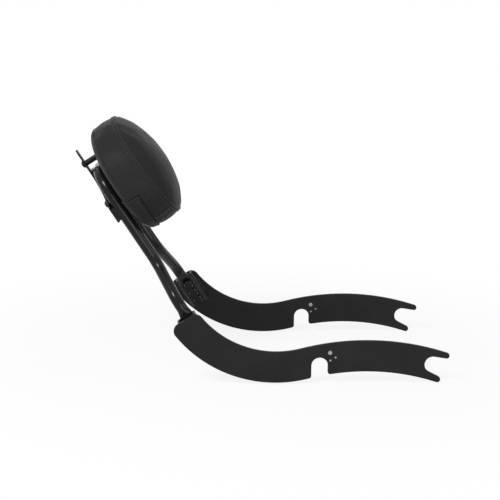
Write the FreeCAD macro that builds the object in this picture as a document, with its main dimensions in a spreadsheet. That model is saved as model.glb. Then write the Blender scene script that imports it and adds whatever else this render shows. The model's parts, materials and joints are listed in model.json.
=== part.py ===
"""Detachable passenger backrest of a cruiser motorcycle.

Two S-shaped side plates drop over docking bushes on the fender. A bent tube stands
between them on bolted brackets and carries a padded backrest.

Frame: X runs across the bike, -Y to the front of the bike, +Z up. The origin is on the
axis of the rear docking bushes, midway between the side plates. Lengths are in millimetres.
The upright has a frame of its own: x across, u up along the reclined tube, w forward.
"""
import FreeCAD, Part
import math
import os
import Sketcher

Vector = FreeCAD.Vector

doc = FreeCAD.newDocument("PassengerBackrest")

# Driving dimensions: alias, value, meaning
SIZES = [
    ("plate_pitch", 294.0, "between the middles of the two side plates"),
    ("plate_thickness", 5.0, "side plate sheet"),
    ("plate_width", 50.0, "side plate, square to its centre line"),
    ("front_arc_radius", 382.0, "centre line of the plate over the fender"),
    ("rear_arc_radius", 176.0, "centre line of the plate's upturned rear"),
    ("crest_ahead", 70.4, "crest of the plate ahead of the rear dock"),
    ("fork_above_band", 0.63, "front docking bush above the plate's centre line"),
    ("inflection_angle", 14.2, "turn from the crest to where the curve changes side, degrees"),
    ("dock_pitch", 178.2, "between the rear and front docking bushes"),
    ("fork_reach", 19.1, "front end of the plate ahead of the front docking bush"),
    ("dock_radius", 12.9, "notches for the bushes"),
    ("fork_lip_angle", 9.9, "opening of the fork's upper lip from the plate's run at its end, degrees"),
    ("fork_ramp_angle", 8.6, "opening of the fork's lower ramp, degrees"),
    ("fork_tip_flat", 0.15, "flat between the two roundings of a fork tip"),
    ("notch_lip_radius", 4.0, "rounding of the rear notch's mouth"),
    ("plate_corner_radius", 12.5, "rounding of the plate's rear end"),
    ("edge_round", 0.6, "softened edges of the side plates"),
    ("rivet_radius", 3.2, "rivet beside the rear notch"),
    ("rivet_ahead", 15.9, "rivet ahead of the rear dock"),
    ("rivet_rise", 20.9, "rivet above the rear dock"),
    ("pin_radius", 1.4, "small pins beside the rear notch"),
    ("pin_circle_radius", 28.0, "outer pin from the dock axis"),
    ("inner_pin_circle_radius", 18.6, "inner pin from the dock axis"),
    ("rivet_gap", 0.05, "all round the rivet and pins in their holes"),
    ("recline", 33.0, "lean of the upright to the rear, degrees"),
    ("tube_ahead_of_end", 4.2, "tube axis ahead of the middle of the plate's rear end"),
    ("plate_end_along", 177.5, "rear end of the side plate along the tube"),
    ("bracket_length", 57.0, "socket bracket along the tube"),
    ("bracket_width", 31.0, "socket bracket across the tube"),
    ("bracket_sheet", 3.0, "socket bracket sheet"),
    ("bracket_depth", 20.0, "socket bracket off the side plate"),
    ("bracket_bend", 4.0, "outer bend of the bracket"),
    ("weld_size", 3.0, "leg of the fillet welds"),
    ("weld_length", 34.0, "each weld bead"),
    ("tube_radius", 9.0, "bent tube"),
    ("foot_thickness", 4.6, "pressed flat end of the tube"),
    ("foot_width", 25.0, "pressed flat end of the tube"),
    ("foot_margin", 3.0, "foot's end above the bracket's lower end"),
    ("foot_flat_below", 8.7, "top of the flat below the plate's end"),
    ("foot_round_above", 8.5, "round tube starts above the plate's end"),
    ("upper_spacing", 116.0, "between the tube's legs behind the pad"),
    ("jog_start", 1.6, "straight run between the pressed end and the outward step"),
    ("jog_angle", 45.0, "slope of the outward step, degrees"),
    ("jog_bend_radius", 42.0, "upper bends of the outward step"),
    ("foot_bend_radius", 36.0, "lower bends of the outward step"),
    ("arch_above_pad_middle", 32.5, "middle line of the arch above the pad's middle"),
    ("arch_bend_radius", 42.0, "corners of the arch"),
    ("foot_screw_margin", 10.0, "lowest foot screw above the bracket's lower end"),
    ("foot_screw_pitch", 15.5, "between the foot screws"),
    ("foot_screw_radius", 4.0, "shank"),
    ("foot_screw_length", 18.0, "shank under the head"),
    ("hex_head_flats", 13.0, "across the flats of screw head and nut"),
    ("hex_head_height", 5.3, "foot screw head"),
    ("foot_nut_height", 6.5, "foot nut"),
    ("foot_washer_radius", 7.0, "foot washer"),
    ("washer_sheet", 1.6, "all washers"),
    ("screw_gap", 0.3, "all round each screw in a plain hole"),
    ("thread_gap", 0.12, "all round each screw in its nut"),
    ("mount_sheet", 2.5, "rear mount plate"),
    ("mount_gap", 3.6, "between the tube's rear and the mount plate"),
    ("mount_half_width", 62.5, "rear mount plate below"),
    ("mount_bottom_below", 48.0, "lower edge of the mount plate below the pad's middle"),
    ("mount_flank_radius", 52.6, "hollow flanks of the mount plate"),
    ("mount_flank_above", 39.2, "upper end of the flanks above the pad's middle"),
    ("mount_flank_turn", 72.5, "turn of the flanks, degrees"),
    ("mount_tab_half", 7.0, "half the width of the upper tab"),
    ("mount_tab_above", 78.5, "tip of the tab above the pad's middle"),
    ("mount_corner_radius", 9.0, "upper corners of the wide part"),
    ("mount_low_corner", 4.0, "lower corners of the mount plate"),
    ("mount_lip", 4.5, "forward fold along the lower edge"),
    ("saddle_length", 22.0, "saddles between the legs and the mount plate"),
    ("saddle_reach", 6.5, "half the saddles' width"),
    ("saddle_gap", 0.05, "between saddle and tube"),
    ("arch_saddle_length", 26.0, "saddle at the middle of the arch"),
    ("upper_bolt_above", 52.5, "upper pad bolt above the pad's middle"),
    ("lower_bolt_below", 16.5, "lower pad bolts below the pad's middle"),
    ("lower_bolt_half_pitch", 38.0, "lower pad bolts from the middle"),
    ("pad_bolt_radius", 3.0, "pad bolt shank"),
    ("pad_bolt_short", 0.3, "pad bolt's end short of the insert's flange"),
    ("button_radius", 5.0, "round head of the pad bolts"),
    ("button_height", 2.7, "round head of the pad bolts"),
    ("socket_flats", 4.0, "hexagon socket in the round heads"),
    ("socket_deep", 2.0, "hexagon socket in the round heads"),
    ("small_washer_radius", 6.2, "washers under the round heads"),
    ("spacer_radius", 4.6, "upper spacer"),
    ("lower_spacer_radius", 5.5, "lower spacers"),
    ("pad_nut_flats", 10.0, "zinc nuts of the lower bolts"),
    ("pad_nut_height", 5.0, "zinc nuts of the lower bolts"),
    ("wide_washer_radius", 9.0, "zinc washers at the pad's back"),
    ("pad_middle", 394.5, "middle of the pad, along the tube"),
    ("pad_half_width", 114.0, "pad's outline"),
    ("pad_half_height_top", 90.0, "outline above the middle"),
    ("pad_half_height_bottom", 89.0, "outline below the middle"),
    ("pad_squareness", 2.25, "exponent of the outline, 2 is an ellipse"),
    ("pad_back", 13.6, "pad's back ahead of the tube axis"),
    ("pad_back_round_side", 22.0, "rounding of the back edge, across"),
    ("pad_back_round_power", 1.3, "rear edge rounding: 1 is an ellipse and more is flatter"),
    ("pad_back_round_deep", 12.4, "rounding of the back edge, forward"),
    ("pad_seam", 67.9, "front seam ahead of the tube axis at the pad's middle"),
    ("pad_seam_tilt", 3.4, "lean of the seam's plane, degrees"),
    ("pad_band_bulge", 2.0, "swell of the side band"),
    ("pad_crown", 30.5, "crown of the front above the seam"),
    ("pad_crown_power", 2.75, "fullness of the crown"),
    ("cover_sheet", 2.0, "cover with its backing"),
    ("cover_gap", 0.3, "between cover, foam and board"),
    ("board_sheet", 6.0, "backing board"),
    ("insert_radius", 4.5, "threaded inserts in the board"),
    ("insert_flange_radius", 9.0, "flange of the inserts"),
    ("insert_flange_sheet", 1.4, "flange of the inserts"),
    ("wrap_sheet", 1.5, "wrapped panel round the pad's lower rear"),
    ("wrap_top_below", 21.5, "upper edge of the wrap on the sides below the pad's middle"),
    ("wrap_reach", 31.0, "front hem of the wrap ahead of the pad's back"),
    ("through_clearance", 10.0, "how far cutting shapes run past what they cut"),
    ("saddle_margin", 3.0, "leg saddles above the mount plate's lower edge"),
    ("lip_side_gap", 2.0, "between the mount plate's lip and the legs"),
]

sheet = doc.addObject("Spreadsheet::Sheet", "sizes")
for row, (alias, value, meaning) in enumerate(SIZES, 1):
    sheet.set("A%d" % row, alias)
    sheet.set("B%d" % row, str(value))
    sheet.setAlias("B%d" % row, alias)
    sheet.set("C%d" % row, meaning)
doc.recompute()


def size(alias):
    """A driving dimension, read from the sheet."""
    return float(sheet.get(alias))


def half_of(alias):
    return size(alias) / 2


# Places that follow from the driving dimensions
PLATE_INNER = "(sizes.plate_pitch - sizes.plate_thickness) / 2"
plate_inner = (size("plate_pitch") - size("plate_thickness")) / 2
plate_outer = plate_inner + size("plate_thickness")
bracket_face = plate_inner - size("bracket_depth")
leg_low = bracket_face - size("tube_radius")
foot_middle = bracket_face - size("foot_thickness") / 2
leg_up = half_of("upper_spacing")
bracket_bottom = size("plate_end_along") - size("bracket_length")
foot_flat_top = size("plate_end_along") - size("foot_flat_below")
foot_round_bottom = size("plate_end_along") + size("foot_round_above")
arch_top = size("pad_middle") + size("arch_above_pad_middle")
mount_bottom = size("pad_middle") - size("mount_bottom_below")
upper_bolt_along = size("pad_middle") + size("upper_bolt_above")
lower_bolt_along = size("pad_middle") - size("lower_bolt_below")
mount_front = -size("tube_radius") - size("mount_gap")
mount_rear = mount_front - size("mount_sheet")
board_back = size("pad_back") + size("cover_sheet") + size("cover_gap")
board_front = board_back + size("board_sheet")
insert_end = board_front + size("insert_flange_sheet")
pad_bolt_length = insert_end - size("pad_bolt_short") - mount_rear + size("washer_sheet")
SIDES = (("right", -1), ("left", 1))
PAD_BOLTS = [(0.0, upper_bolt_along)]
PAD_BOLTS += [(side * size("lower_bolt_half_pitch"), lower_bolt_along) for name, side in SIDES]
first_screw = bracket_bottom + size("foot_screw_margin")
foot_screws = [first_screw + i * size("foot_screw_pitch") for i in range(3)]

# The side plate's two arcs, in its own plane (rearward, up)


def on_circle(centre, radius, degrees):
    """A point on a circle, its angle counted from straight up towards the second side."""
    a = math.radians(degrees)
    return (centre[0] + radius * math.sin(a), centre[1] + radius * math.cos(a))


fork_past_crest = size("dock_pitch") - size("crest_ahead")
fork_over_centre = math.sqrt(size("front_arc_radius") ** 2 - fork_past_crest ** 2)
front_centre = (-size("crest_ahead"), -size("fork_above_band") - fork_over_centre)
turn = size("inflection_angle")
rear_centre = on_circle(front_centre, size("front_arc_radius") + size("rear_arc_radius"), turn)
lean_u = (math.sin(math.radians(size("recline"))), math.cos(math.radians(size("recline"))))
lean_v = (-lean_u[1], lean_u[0])


def plate_end_point(radius):
    """Where a rear arc meets the plate's end, which is square to the tube."""
    along = rear_centre[0] * lean_u[0] + rear_centre[1] * lean_u[1]
    across = rear_centre[0] * lean_v[0] + rear_centre[1] * lean_v[1]
    rest = size("plate_end_along") - along
    back = across - math.sqrt(radius ** 2 - rest ** 2)
    u = size("plate_end_along")
    return (u * lean_u[0] + back * lean_v[0], u * lean_u[1] + back * lean_v[1])


def tube_behind_dock():
    """The tube's axis is a little ahead of the middle of the plate's end."""
    y, z = plate_end_point(size("rear_arc_radius"))
    return -(y * lean_v[0] + z * lean_v[1]) - size("tube_ahead_of_end")


# The upright's frame: x stays, u leans back by the recline, w is square to both
lean = FreeCAD.Rotation(Vector(1, 0, 0), 90 - size("recline"))
UPRIGHT = FreeCAD.Placement(lean.multVec(Vector(0, 0, -tube_behind_dock())), lean)


def in_upright(x, u, w):
    """A place given along and across the tube, in the part's frame."""
    return UPRIGHT.multVec(Vector(x, u, w))


def upright_placement(x=0.0, u=0.0, w=0.0, axis=None, angle=0.0):
    """A placement inside the upright's frame, turned about one of its axes."""
    turn = FreeCAD.Rotation(axis or Vector(0, 0, 1), angle)
    return UPRIGHT.multiply(FreeCAD.Placement(Vector(x, u, w), turn))


nodes = []


def as_node(piece, label, placement=None):
    """Names a finished piece and keeps it for the export."""
    piece.Label = label
    if placement is not None:
        piece.Placement = placement
    nodes.append(piece)
    return piece


def new_body(label, placement=None):
    body = doc.addObject("PartDesign::Body", "body_" + label)
    as_node(body, label, placement)
    return body


def new_sketch(body, role, offset=0.0, name="sketch"):
    """A sketch on one of the body's own planes, moved along that plane's normal."""
    sketch = body.newObject("Sketcher::SketchObject", name)
    plane = [f for f in body.Origin.OriginFeatures if f.Role == role][0]
    sketch.AttachmentSupport = [(plane, "")]
    sketch.MapMode = "FlatFace"
    sketch.AttachmentOffset = FreeCAD.Placement(Vector(0, 0, offset), FreeCAD.Rotation())
    return sketch


def line(a, b):
    return Part.LineSegment(Vector(a[0], a[1], 0), Vector(b[0], b[1], 0))


def arc_through(a, b, c):
    """An arc through three points, always given in the counter-clockwise sense."""
    turn_sense = (b[0] - a[0]) * (c[1] - a[1]) - (b[1] - a[1]) * (c[0] - a[0])
    if turn_sense < 0:
        a, c = c, a
    return Part.Arc(Vector(a[0], a[1], 0), Vector(b[0], b[1], 0), Vector(c[0], c[1], 0))


def join_ends(sketch, closed=True, first=0):
    """Ties each piece of a chain to the next at the two ends that lie together."""
    count = sketch.GeometryCount
    chain = list(range(first, count)) + ([first] if closed else [])
    for i, j in zip(chain, chain[1:]):
        ends = [(sketch.getPoint(i, a).distanceToPoint(sketch.getPoint(j, b)), a, b)
                for a in (1, 2) for b in (1, 2)]
        gap, a, b = min(ends)
        sketch.addConstraint(Sketcher.Constraint("Coincident", i, a, j, b))


def polygon(sketch, points):
    for a, b in zip(points, points[1:] + points[:1]):
        sketch.addGeometry(line(a, b), False)
    join_ends(sketch)


def pad_feature(body, sketch, length, reverse=False, name="pad"):
    """Extrudes a sketch by a length given as an expression."""
    pad = body.newObject("PartDesign::Pad", name)
    pad.Profile = sketch
    pad.setExpression("Length", length)
    pad.Reversed = reverse
    body.Tip = pad
    return pad


def pocket_feature(body, sketch, reverse=False, name="pocket", length=None):
    """Cuts a sketch right through, or as deep as the expression says."""
    pocket = body.newObject("PartDesign::Pocket", name)
    pocket.Profile = sketch
    if length is None:
        pocket.Type = "ThroughAll"
    else:
        pocket.setExpression("Length", length)
    pocket.Reversed = reverse
    body.Tip = pocket
    return pocket


def circle_hole(sketch, x, y, radius):
    """A circle whose radius is bound to the sheet."""
    number = sketch.addGeometry(Part.Circle(Vector(x, y, 0), Vector(0, 0, 1), 1.0), False)
    constraint = sketch.addConstraint(Sketcher.Constraint("Radius", number, 1.0))
    sketch.setExpression("Constraints[%d]" % constraint, radius)


def fillet_edges(body, radius, chosen, name="fillet"):
    """Rounds the edges of the body's last feature that the test picks."""
    doc.recompute()
    base = body.Tip
    edges = ["Edge%d" % (i + 1) for i, e in enumerate(base.Shape.Edges) if chosen(e)]
    fillet = body.newObject("PartDesign::Fillet", name)
    fillet.Base = (base, edges)
    fillet.setExpression("Radius", radius)
    body.Tip = fillet
    doc.recompute()
    return fillet


def near_any(edge, places, reach=0.6):
    """True for an edge across the sheet whose middle is at one of the places (y, z)."""
    middle = edge.CenterOfMass
    return any(math.hypot(middle.y - p[0], middle.z - p[1]) < reach for p in places)


# Side plates

def rear_angle(point):
    """The angle of a point about the rear centre, from straight down towards the rear."""
    return math.degrees(math.atan2(point[0] - rear_centre[0], rear_centre[1] - point[1]))


def rear_point(radius, degrees):
    a = math.radians(degrees)
    return (rear_centre[0] + radius * math.sin(a), rear_centre[1] - radius * math.cos(a))


def line_meets_circle(point, direction, centre, radius):
    """The first meeting of a ray with a circle."""
    px, py = point[0] - centre[0], point[1] - centre[1]
    b = px * direction[0] + py * direction[1]
    c = px * px + py * py - radius ** 2
    step = -b + math.sqrt(b * b - c)
    return (point[0] + step * direction[0], point[1] + step * direction[1])


half_width = half_of("plate_width")
outer_front = size("front_arc_radius") + half_width
inner_front = size("front_arc_radius") - half_width
top_rear = size("rear_arc_radius") - half_width
low_rear = size("rear_arc_radius") + half_width
front_run = size("dock_pitch") + size("fork_reach") - size("crest_ahead")
end_angle = -math.degrees(math.asin(front_run / size("front_arc_radius")))
top_end = plate_end_point(top_rear)
low_end = plate_end_point(low_rear)
fork = (-size("dock_pitch"), 0.0)


def plate_outline(sketch):
    """A band of even width along two tangent arcs, cut square at both ends."""
    top_mid = rear_point(top_rear, (rear_angle(top_end) - turn) / 2)
    low_mid = rear_point(low_rear, (rear_angle(low_end) - turn) / 2)
    top_turn = on_circle(front_centre, outer_front, turn)
    low_turn = on_circle(front_centre, inner_front, turn)
    top_tip = on_circle(front_centre, outer_front, end_angle)
    low_tip = on_circle(front_centre, inner_front, end_angle)
    crest = on_circle(front_centre, outer_front, 0)
    belly = on_circle(front_centre, inner_front, 0)
    sketch.addGeometry(arc_through(top_tip, crest, top_turn), False)
    sketch.addGeometry(arc_through(top_turn, top_mid, top_end), False)
    sketch.addGeometry(line(top_end, low_end), False)
    sketch.addGeometry(arc_through(low_end, low_mid, low_turn), False)
    sketch.addGeometry(arc_through(low_turn, belly, low_tip), False)
    sketch.addGeometry(line(low_tip, top_tip), False)
    return top_tip, low_tip


def notch_outline(sketch):
    """A round-topped slot that opens downwards over the rear bush."""
    r = size("dock_radius")
    below = -size("plate_width")
    sketch.addGeometry(arc_through((-r, 0), (0, r), (r, 0)), False)
    sketch.addGeometry(line((r, 0), (r, below)), False)
    sketch.addGeometry(line((r, below), (-r, below)), False)
    sketch.addGeometry(line((-r, below), (-r, 0)), False)


lip = math.radians(-end_angle - size("fork_lip_angle"))
ramp = math.radians(-end_angle + size("fork_ramp_angle"))
lip_start = (fork[0] - size("dock_radius") * math.sin(lip), fork[1] + size("dock_radius") * math.cos(lip))
ramp_start = (fork[0] + size("dock_radius") * math.sin(ramp), fork[1] - size("dock_radius") * math.cos(ramp))
lip_way = (-math.cos(lip), -math.sin(lip))
ramp_way = (-math.cos(ramp), -math.sin(ramp))


def fork_outline(sketch):
    """A round seat that opens forward between a falling lip and a ramp."""
    reach = size("plate_width")
    lip_far = (lip_start[0] + reach * lip_way[0], lip_start[1] + reach * lip_way[1])
    ramp_far = (ramp_start[0] + reach * ramp_way[0], ramp_start[1] + reach * ramp_way[1])
    back = (fork[0] + size("dock_radius"), fork[1])
    sketch.addGeometry(arc_through(ramp_start, back, lip_start), False)
    sketch.addGeometry(line(lip_start, lip_far), False)
    sketch.addGeometry(line(lip_far, ramp_far), False)
    sketch.addGeometry(line(ramp_far, ramp_start), False)


def front_end_meets(start, way):
    """Where a fork edge runs out through the plate's front end."""
    a = math.radians(end_angle)
    nx, nz = math.cos(a), -math.sin(a)
    gap = (front_centre[0] - start[0]) * nx + (front_centre[1] - start[1]) * nz
    step = gap / (way[0] * nx + way[1] * nz)
    return (start[0] + step * way[0], start[1] + step * way[1])


def tip_radius(corner, meets, opening):
    """The rounding that fills a fork tip, apart from its flat, given its square and its leaning corner."""
    leaning = math.radians(90 + opening) / 2
    return (math.dist(corner, meets) - size("fork_tip_flat")) / (1 + 1 / math.tan(leaning))


def rivet_places():
    """Rivet and two pins beside the rear notch, as (ahead, up) on the plate."""
    rivet = (-size("rivet_ahead"), size("rivet_rise"))
    outer = on_circle((0, 0), size("pin_circle_radius"), -62.0)
    inner = on_circle((0, 0), size("inner_pin_circle_radius"), -63.0)
    return rivet, outer, inner


def on_face_rim(edge):
    """True for an edge that lies in one of the plate's two flat faces, apart from the small holes."""
    box = edge.BoundBox
    return box.XLength < 0.01 and edge.Length > 2 * math.pi * size("rivet_radius") * 1.1 or (
        box.XLength < 0.01 and len(edge.Vertexes) > 1)


def side_plate(name, side):
    body = new_body("side_plate_" + name)
    inner = plate_inner if side > 0 else -plate_outer
    blank = new_sketch(body, "YZ_Plane", inner, "outline_" + name)
    top_tip, low_tip = plate_outline(blank)
    join_ends(blank)
    pad_feature(body, blank, "sizes.plate_thickness", name="plate_" + name)
    notch = new_sketch(body, "YZ_Plane", inner, "notch_" + name)
    notch_outline(notch)
    join_ends(notch)
    pocket_feature(body, notch, reverse=True, name="notch_cut_" + name)
    mouth = new_sketch(body, "YZ_Plane", inner, "fork_" + name)
    fork_outline(mouth)
    join_ends(mouth)
    pocket_feature(body, mouth, reverse=True, name="fork_cut_" + name)
    holes = new_sketch(body, "YZ_Plane", inner, "rivet_holes_" + name)
    rivet, outer, small = rivet_places()
    circle_hole(holes, rivet[0], rivet[1], "sizes.rivet_radius + sizes.rivet_gap")
    circle_hole(holes, outer[0], outer[1], "sizes.pin_radius + sizes.rivet_gap")
    circle_hole(holes, small[0], small[1], "sizes.pin_radius + sizes.rivet_gap")
    pocket_feature(body, holes, reverse=True, name="rivet_cut_" + name)
    for corner, meets, opening, place in (
            (top_tip, front_end_meets(lip_start, lip_way), size("fork_lip_angle"), "upper"),
            (low_tip, front_end_meets(ramp_start, ramp_way), size("fork_ramp_angle"), "lower")):
        radius = "%.4f mm" % tip_radius(corner, meets, opening)
        fillet_edges(body, radius, lambda e: near_any(e, [corner, meets]), "%s_tip_%s" % (place, name))
    r = size("dock_radius")
    rear_mouth = line_meets_circle((r, 0), (0, -1), rear_centre, low_rear)
    front_mouth = (-r, front_centre[1] + math.sqrt(inner_front ** 2 - (-r - front_centre[0]) ** 2))
    lips = [rear_mouth, front_mouth]
    fillet_edges(body, "sizes.notch_lip_radius", lambda e: near_any(e, lips), "lips_" + name)
    ends = [top_end, low_end]
    fillet_edges(body, "sizes.plate_corner_radius", lambda e: near_any(e, ends), "ends_" + name)
    fillet_edges(body, "sizes.edge_round", on_face_rim, "edges_" + name)


def dock_rivets(name, side):
    """The rivet and the two pins that sit flush in one side plate."""
    label = "dock_rivet_" + name
    rivet, outer, inner = rivet_places()
    start = plate_inner if side > 0 else -plate_outer
    turn_x = FreeCAD.Rotation(Vector(0, 1, 0), 90)
    disc = doc.addObject("Part::Cylinder", "disc_" + name)
    disc.setExpression("Radius", "sizes.rivet_radius")
    disc.setExpression("Height", "sizes.plate_thickness")
    as_node(disc, label, FreeCAD.Placement(Vector(start, rivet[0], rivet[1]), turn_x))
    pins = []
    for number, place in enumerate((outer, inner)):
        pin = doc.addObject("Part::Cylinder", "pin_%s_%d" % (name, number))
        pin.setExpression("Radius", "sizes.pin_radius")
        pin.setExpression("Height", "sizes.plate_thickness")
        pin.Placement = FreeCAD.Placement(Vector(start, place[0], place[1]), turn_x)
        pins.append(pin)
    group = doc.addObject("Part::Compound", "pins_" + name)
    group.Links = pins
    as_node(group, "dock_pins_" + name)


for name, side in SIDES:
    side_plate(name, side)
    dock_rivets(name, side)

# Socket brackets on the plates' inner faces


def socket_bracket(name, side):
    """A bent sheet, its two legs welded to the side plate and its web facing the middle."""
    body = new_body("socket_bracket_" + name, UPRIGHT)
    w, t = half_of("bracket_width"), size("bracket_sheet")
    a, b = side * bracket_face, side * plate_inner
    c = side * (bracket_face + t)
    profile = new_sketch(body, "XZ_Plane", -size("plate_end_along"), "profile_" + name)
    polygon(profile, [(b, w), (a, w), (a, -w), (b, -w), (b, -w + t), (c, -w + t), (c, w - t), (b, w - t)])
    pad_feature(body, profile, "sizes.bracket_length", name="bent_sheet_" + name)

    def outer_bend(e):
        m = e.CenterOfMass
        return abs(m.x - a) < 0.01 and abs(abs(m.z) - w) < 0.01 and e.Length > size("bracket_length") - 1

    fillet_edges(body, "sizes.bracket_bend", outer_bend, "bends_" + name)
    holes = new_sketch(body, "YZ_Plane", 0.0, "holes_" + name)
    for u in foot_screws:
        circle_hole(holes, u, 0.0, "sizes.foot_screw_radius + sizes.screw_gap")
    pocket_feature(body, holes, reverse=side > 0, name="holes_cut_" + name)


def weld_beads(name, side):
    """Fillet welds along the outsides of the bracket's two legs."""
    beads = []
    s = size("weld_size")
    middle = size("plate_end_along") - size("bracket_length") / 2
    for number, front in enumerate((1, -1)):
        w = front * half_of("bracket_width")
        corner = Vector(side * plate_inner, middle - size("weld_length") / 2, w)
        up = corner + Vector(-side * s, 0, 0)
        out = corner + Vector(0, 0, front * s)
        face = Part.Face(Part.makePolygon([corner, up, out, corner]))
        beads.append(face.extrude(Vector(0, size("weld_length"), 0)))
    feature = doc.addObject("Part::Feature", "welds_" + name)
    feature.Shape = Part.makeCompound(beads)
    as_node(feature, "weld_beads_" + name, UPRIGHT)


# Screws, nuts and washers, made once for every place


def hexagon(sketch, flats):
    """A hexagon about the sketch's origin, given the size across its flats."""
    corner = flats / math.sqrt(3)
    points = [(corner * math.cos(math.radians(60 * i)), corner * math.sin(math.radians(60 * i))) for i in range(6)]
    polygon(sketch, points)


def ring(name, outer, inner, height):
    """A plain ring along +Z: a cylinder less a longer one."""
    solid = doc.addObject("Part::Cylinder", name + "_solid")
    solid.setExpression("Radius", outer)
    solid.setExpression("Height", height)
    bore = doc.addObject("Part::Cylinder", name + "_bore")
    bore.setExpression("Radius", inner)
    bore.setExpression("Height", "(%s) * 3" % height)
    bore.setExpression("Placement.Base.z", "-(%s)" % height)
    cut = doc.addObject("Part::Cut", name)
    cut.Base = solid
    cut.Tool = bore
    return cut


def hex_nut(name, flats, inner, height):
    """A hexagonal prism with a round bore, along +Z."""
    solid = doc.addObject("Part::Prism", name + "_solid")
    solid.Polygon = 6
    solid.setExpression("Circumradius", "%s / sqrt(3)" % flats)
    solid.setExpression("Height", height)
    bore = doc.addObject("Part::Cylinder", name + "_bore")
    bore.setExpression("Radius", inner)
    bore.setExpression("Height", "(%s) * 3" % height)
    bore.setExpression("Placement.Base.z", "-(%s)" % height)
    cut = doc.addObject("Part::Cut", name)
    cut.Base = solid
    cut.Tool = bore
    return cut


def hex_screw(name):
    """Hexagon head below the origin, shank above it, along +Z."""
    head = doc.addObject("Part::Prism", name + "_head")
    head.Polygon = 6
    head.setExpression("Circumradius", "sizes.hex_head_flats / sqrt(3)")
    head.setExpression("Height", "sizes.hex_head_height")
    head.setExpression("Placement.Base.z", "-sizes.hex_head_height")
    shank = doc.addObject("Part::Cylinder", name + "_shank")
    shank.setExpression("Radius", "sizes.foot_screw_radius")
    shank.setExpression("Height", "sizes.foot_screw_length")
    fuse = doc.addObject("Part::Fuse", name)
    fuse.Base = head
    fuse.Tool = shank
    return fuse


def button_bolt(name, placement):
    """Domed head with a hexagon socket, turned in one go, then the socket cut."""
    body = doc.addObject("PartDesign::Body", name)
    body.Placement = placement
    r, h, shank = size("button_radius"), size("button_height"), size("pad_bolt_radius")
    profile = new_sketch(body, "XZ_Plane", 0.0, name + "_profile")
    crown = 0.5 * r
    profile.addGeometry(line((0, -h), (crown, -h)), False)
    profile.addGeometry(arc_through((crown, -h), (0.85 * r, -0.72 * h), (r, -0.15 * h)), False)
    profile.addGeometry(line((r, -0.15 * h), (r, 0)), False)
    profile.addGeometry(line((r, 0), (shank, 0)), False)
    profile.addGeometry(line((shank, 0), (shank, pad_bolt_length)), False)
    profile.addGeometry(line((shank, pad_bolt_length), (0, pad_bolt_length)), False)
    profile.addGeometry(line((0, pad_bolt_length), (0, -h)), False)
    join_ends(profile)
    turned = body.newObject("PartDesign::Revolution", name + "_turned")
    turned.Profile = profile
    turned.ReferenceAxis = (profile, ["V_Axis"])
    turned.Angle = 360
    body.Tip = turned
    socket = new_sketch(body, "XY_Plane", -h, name + "_socket")
    hexagon(socket, size("socket_flats"))
    pocket_feature(body, socket, reverse=True, name=name + "_socket_cut", length="sizes.socket_deep")
    return body


def group_node(label, pieces):
    """Puts separate like pieces into one named group."""
    group = doc.addObject("Part::Compound", "group_" + label)
    group.Links = pieces
    as_node(group, label)


def across(side, x, u, w=0.0):
    """A place whose own +Z points outwards across the bike on the given side."""
    return upright_placement(side * x, u, w, Vector(0, 1, 0), 90 * side)


def foot_fasteners(name, side):
    """Three screws with washers hold the foot to the bracket, with nuts behind its web."""
    seat = bracket_face - size("foot_thickness")
    screws, washers, nuts = [], [], []
    for number, u in enumerate(foot_screws):
        tag = "%s_%d" % (name, number)
        washer = ring("foot_washer_" + tag, "sizes.foot_washer_radius",
                      "sizes.foot_screw_radius + sizes.screw_gap", "sizes.washer_sheet")
        washer.Placement = across(side, seat - size("washer_sheet"), u)
        screw = hex_screw("foot_screw_" + tag)
        screw.Placement = across(side, seat - size("washer_sheet"), u)
        nut = hex_nut("foot_nut_" + tag, "sizes.hex_head_flats",
                      "sizes.foot_screw_radius + sizes.thread_gap", "sizes.foot_nut_height")
        nut.Placement = across(side, bracket_face + size("bracket_sheet"), u)
        screws.append(screw)
        washers.append(washer)
        nuts.append(nut)
    group_node("foot_screws_" + name, screws)
    group_node("foot_washers_" + name, washers)
    group_node("foot_nuts_" + name, nuts)


for name, side in SIDES:
    socket_bracket(name, side)
    weld_beads(name, side)
    foot_fasteners(name, side)

# The bent tube


def tube_path():
    """One half of the tube's middle line in the (x, u) plane: corners with their bends."""
    drop = (leg_low - leg_up) / math.tan(math.radians(size("jog_angle")))
    bend_run = size("foot_bend_radius") * math.tan(math.radians(size("jog_angle") / 2))
    jog_bottom = foot_round_bottom + size("jog_start") + bend_run
    corners = [
        (leg_low, foot_round_bottom, 0.0),
        (leg_low, jog_bottom, size("foot_bend_radius")),
        (leg_up, jog_bottom + drop, size("jog_bend_radius")),
        (leg_up, arch_top, size("arch_bend_radius")),
    ]
    mirrored = [(-x, u, r) for x, u, r in reversed(corners)]
    return [(-x, u, r) for x, u, r in corners] + [(-x, u, r) for x, u, r in mirrored]


def rounded_path(sketch, corners):
    """Straight runs joined by tangent arcs of each corner's bend radius."""
    start = Vector(corners[0][0], corners[0][1], 0)
    for before, here, after in zip(corners, corners[1:], corners[2:]):
        p = Vector(here[0], here[1], 0)
        back = (Vector(before[0], before[1], 0) - p).normalize()
        ahead = (Vector(after[0], after[1], 0) - p).normalize()
        bend = math.pi - back.getAngle(ahead)
        run = here[2] * math.tan(bend / 2)
        a = p + back * run
        b = p + ahead * run
        to_centre = (back + ahead).normalize()
        centre = p + to_centre * (here[2] / math.cos(bend / 2))
        middle = centre - to_centre * here[2]
        sketch.addGeometry(Part.LineSegment(start, a), False)
        sketch.addGeometry(arc_through(a, middle, b), False)
        start = b
    sketch.addGeometry(Part.LineSegment(start, Vector(corners[-1][0], corners[-1][1], 0)), False)
    join_ends(sketch, closed=False)


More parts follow.
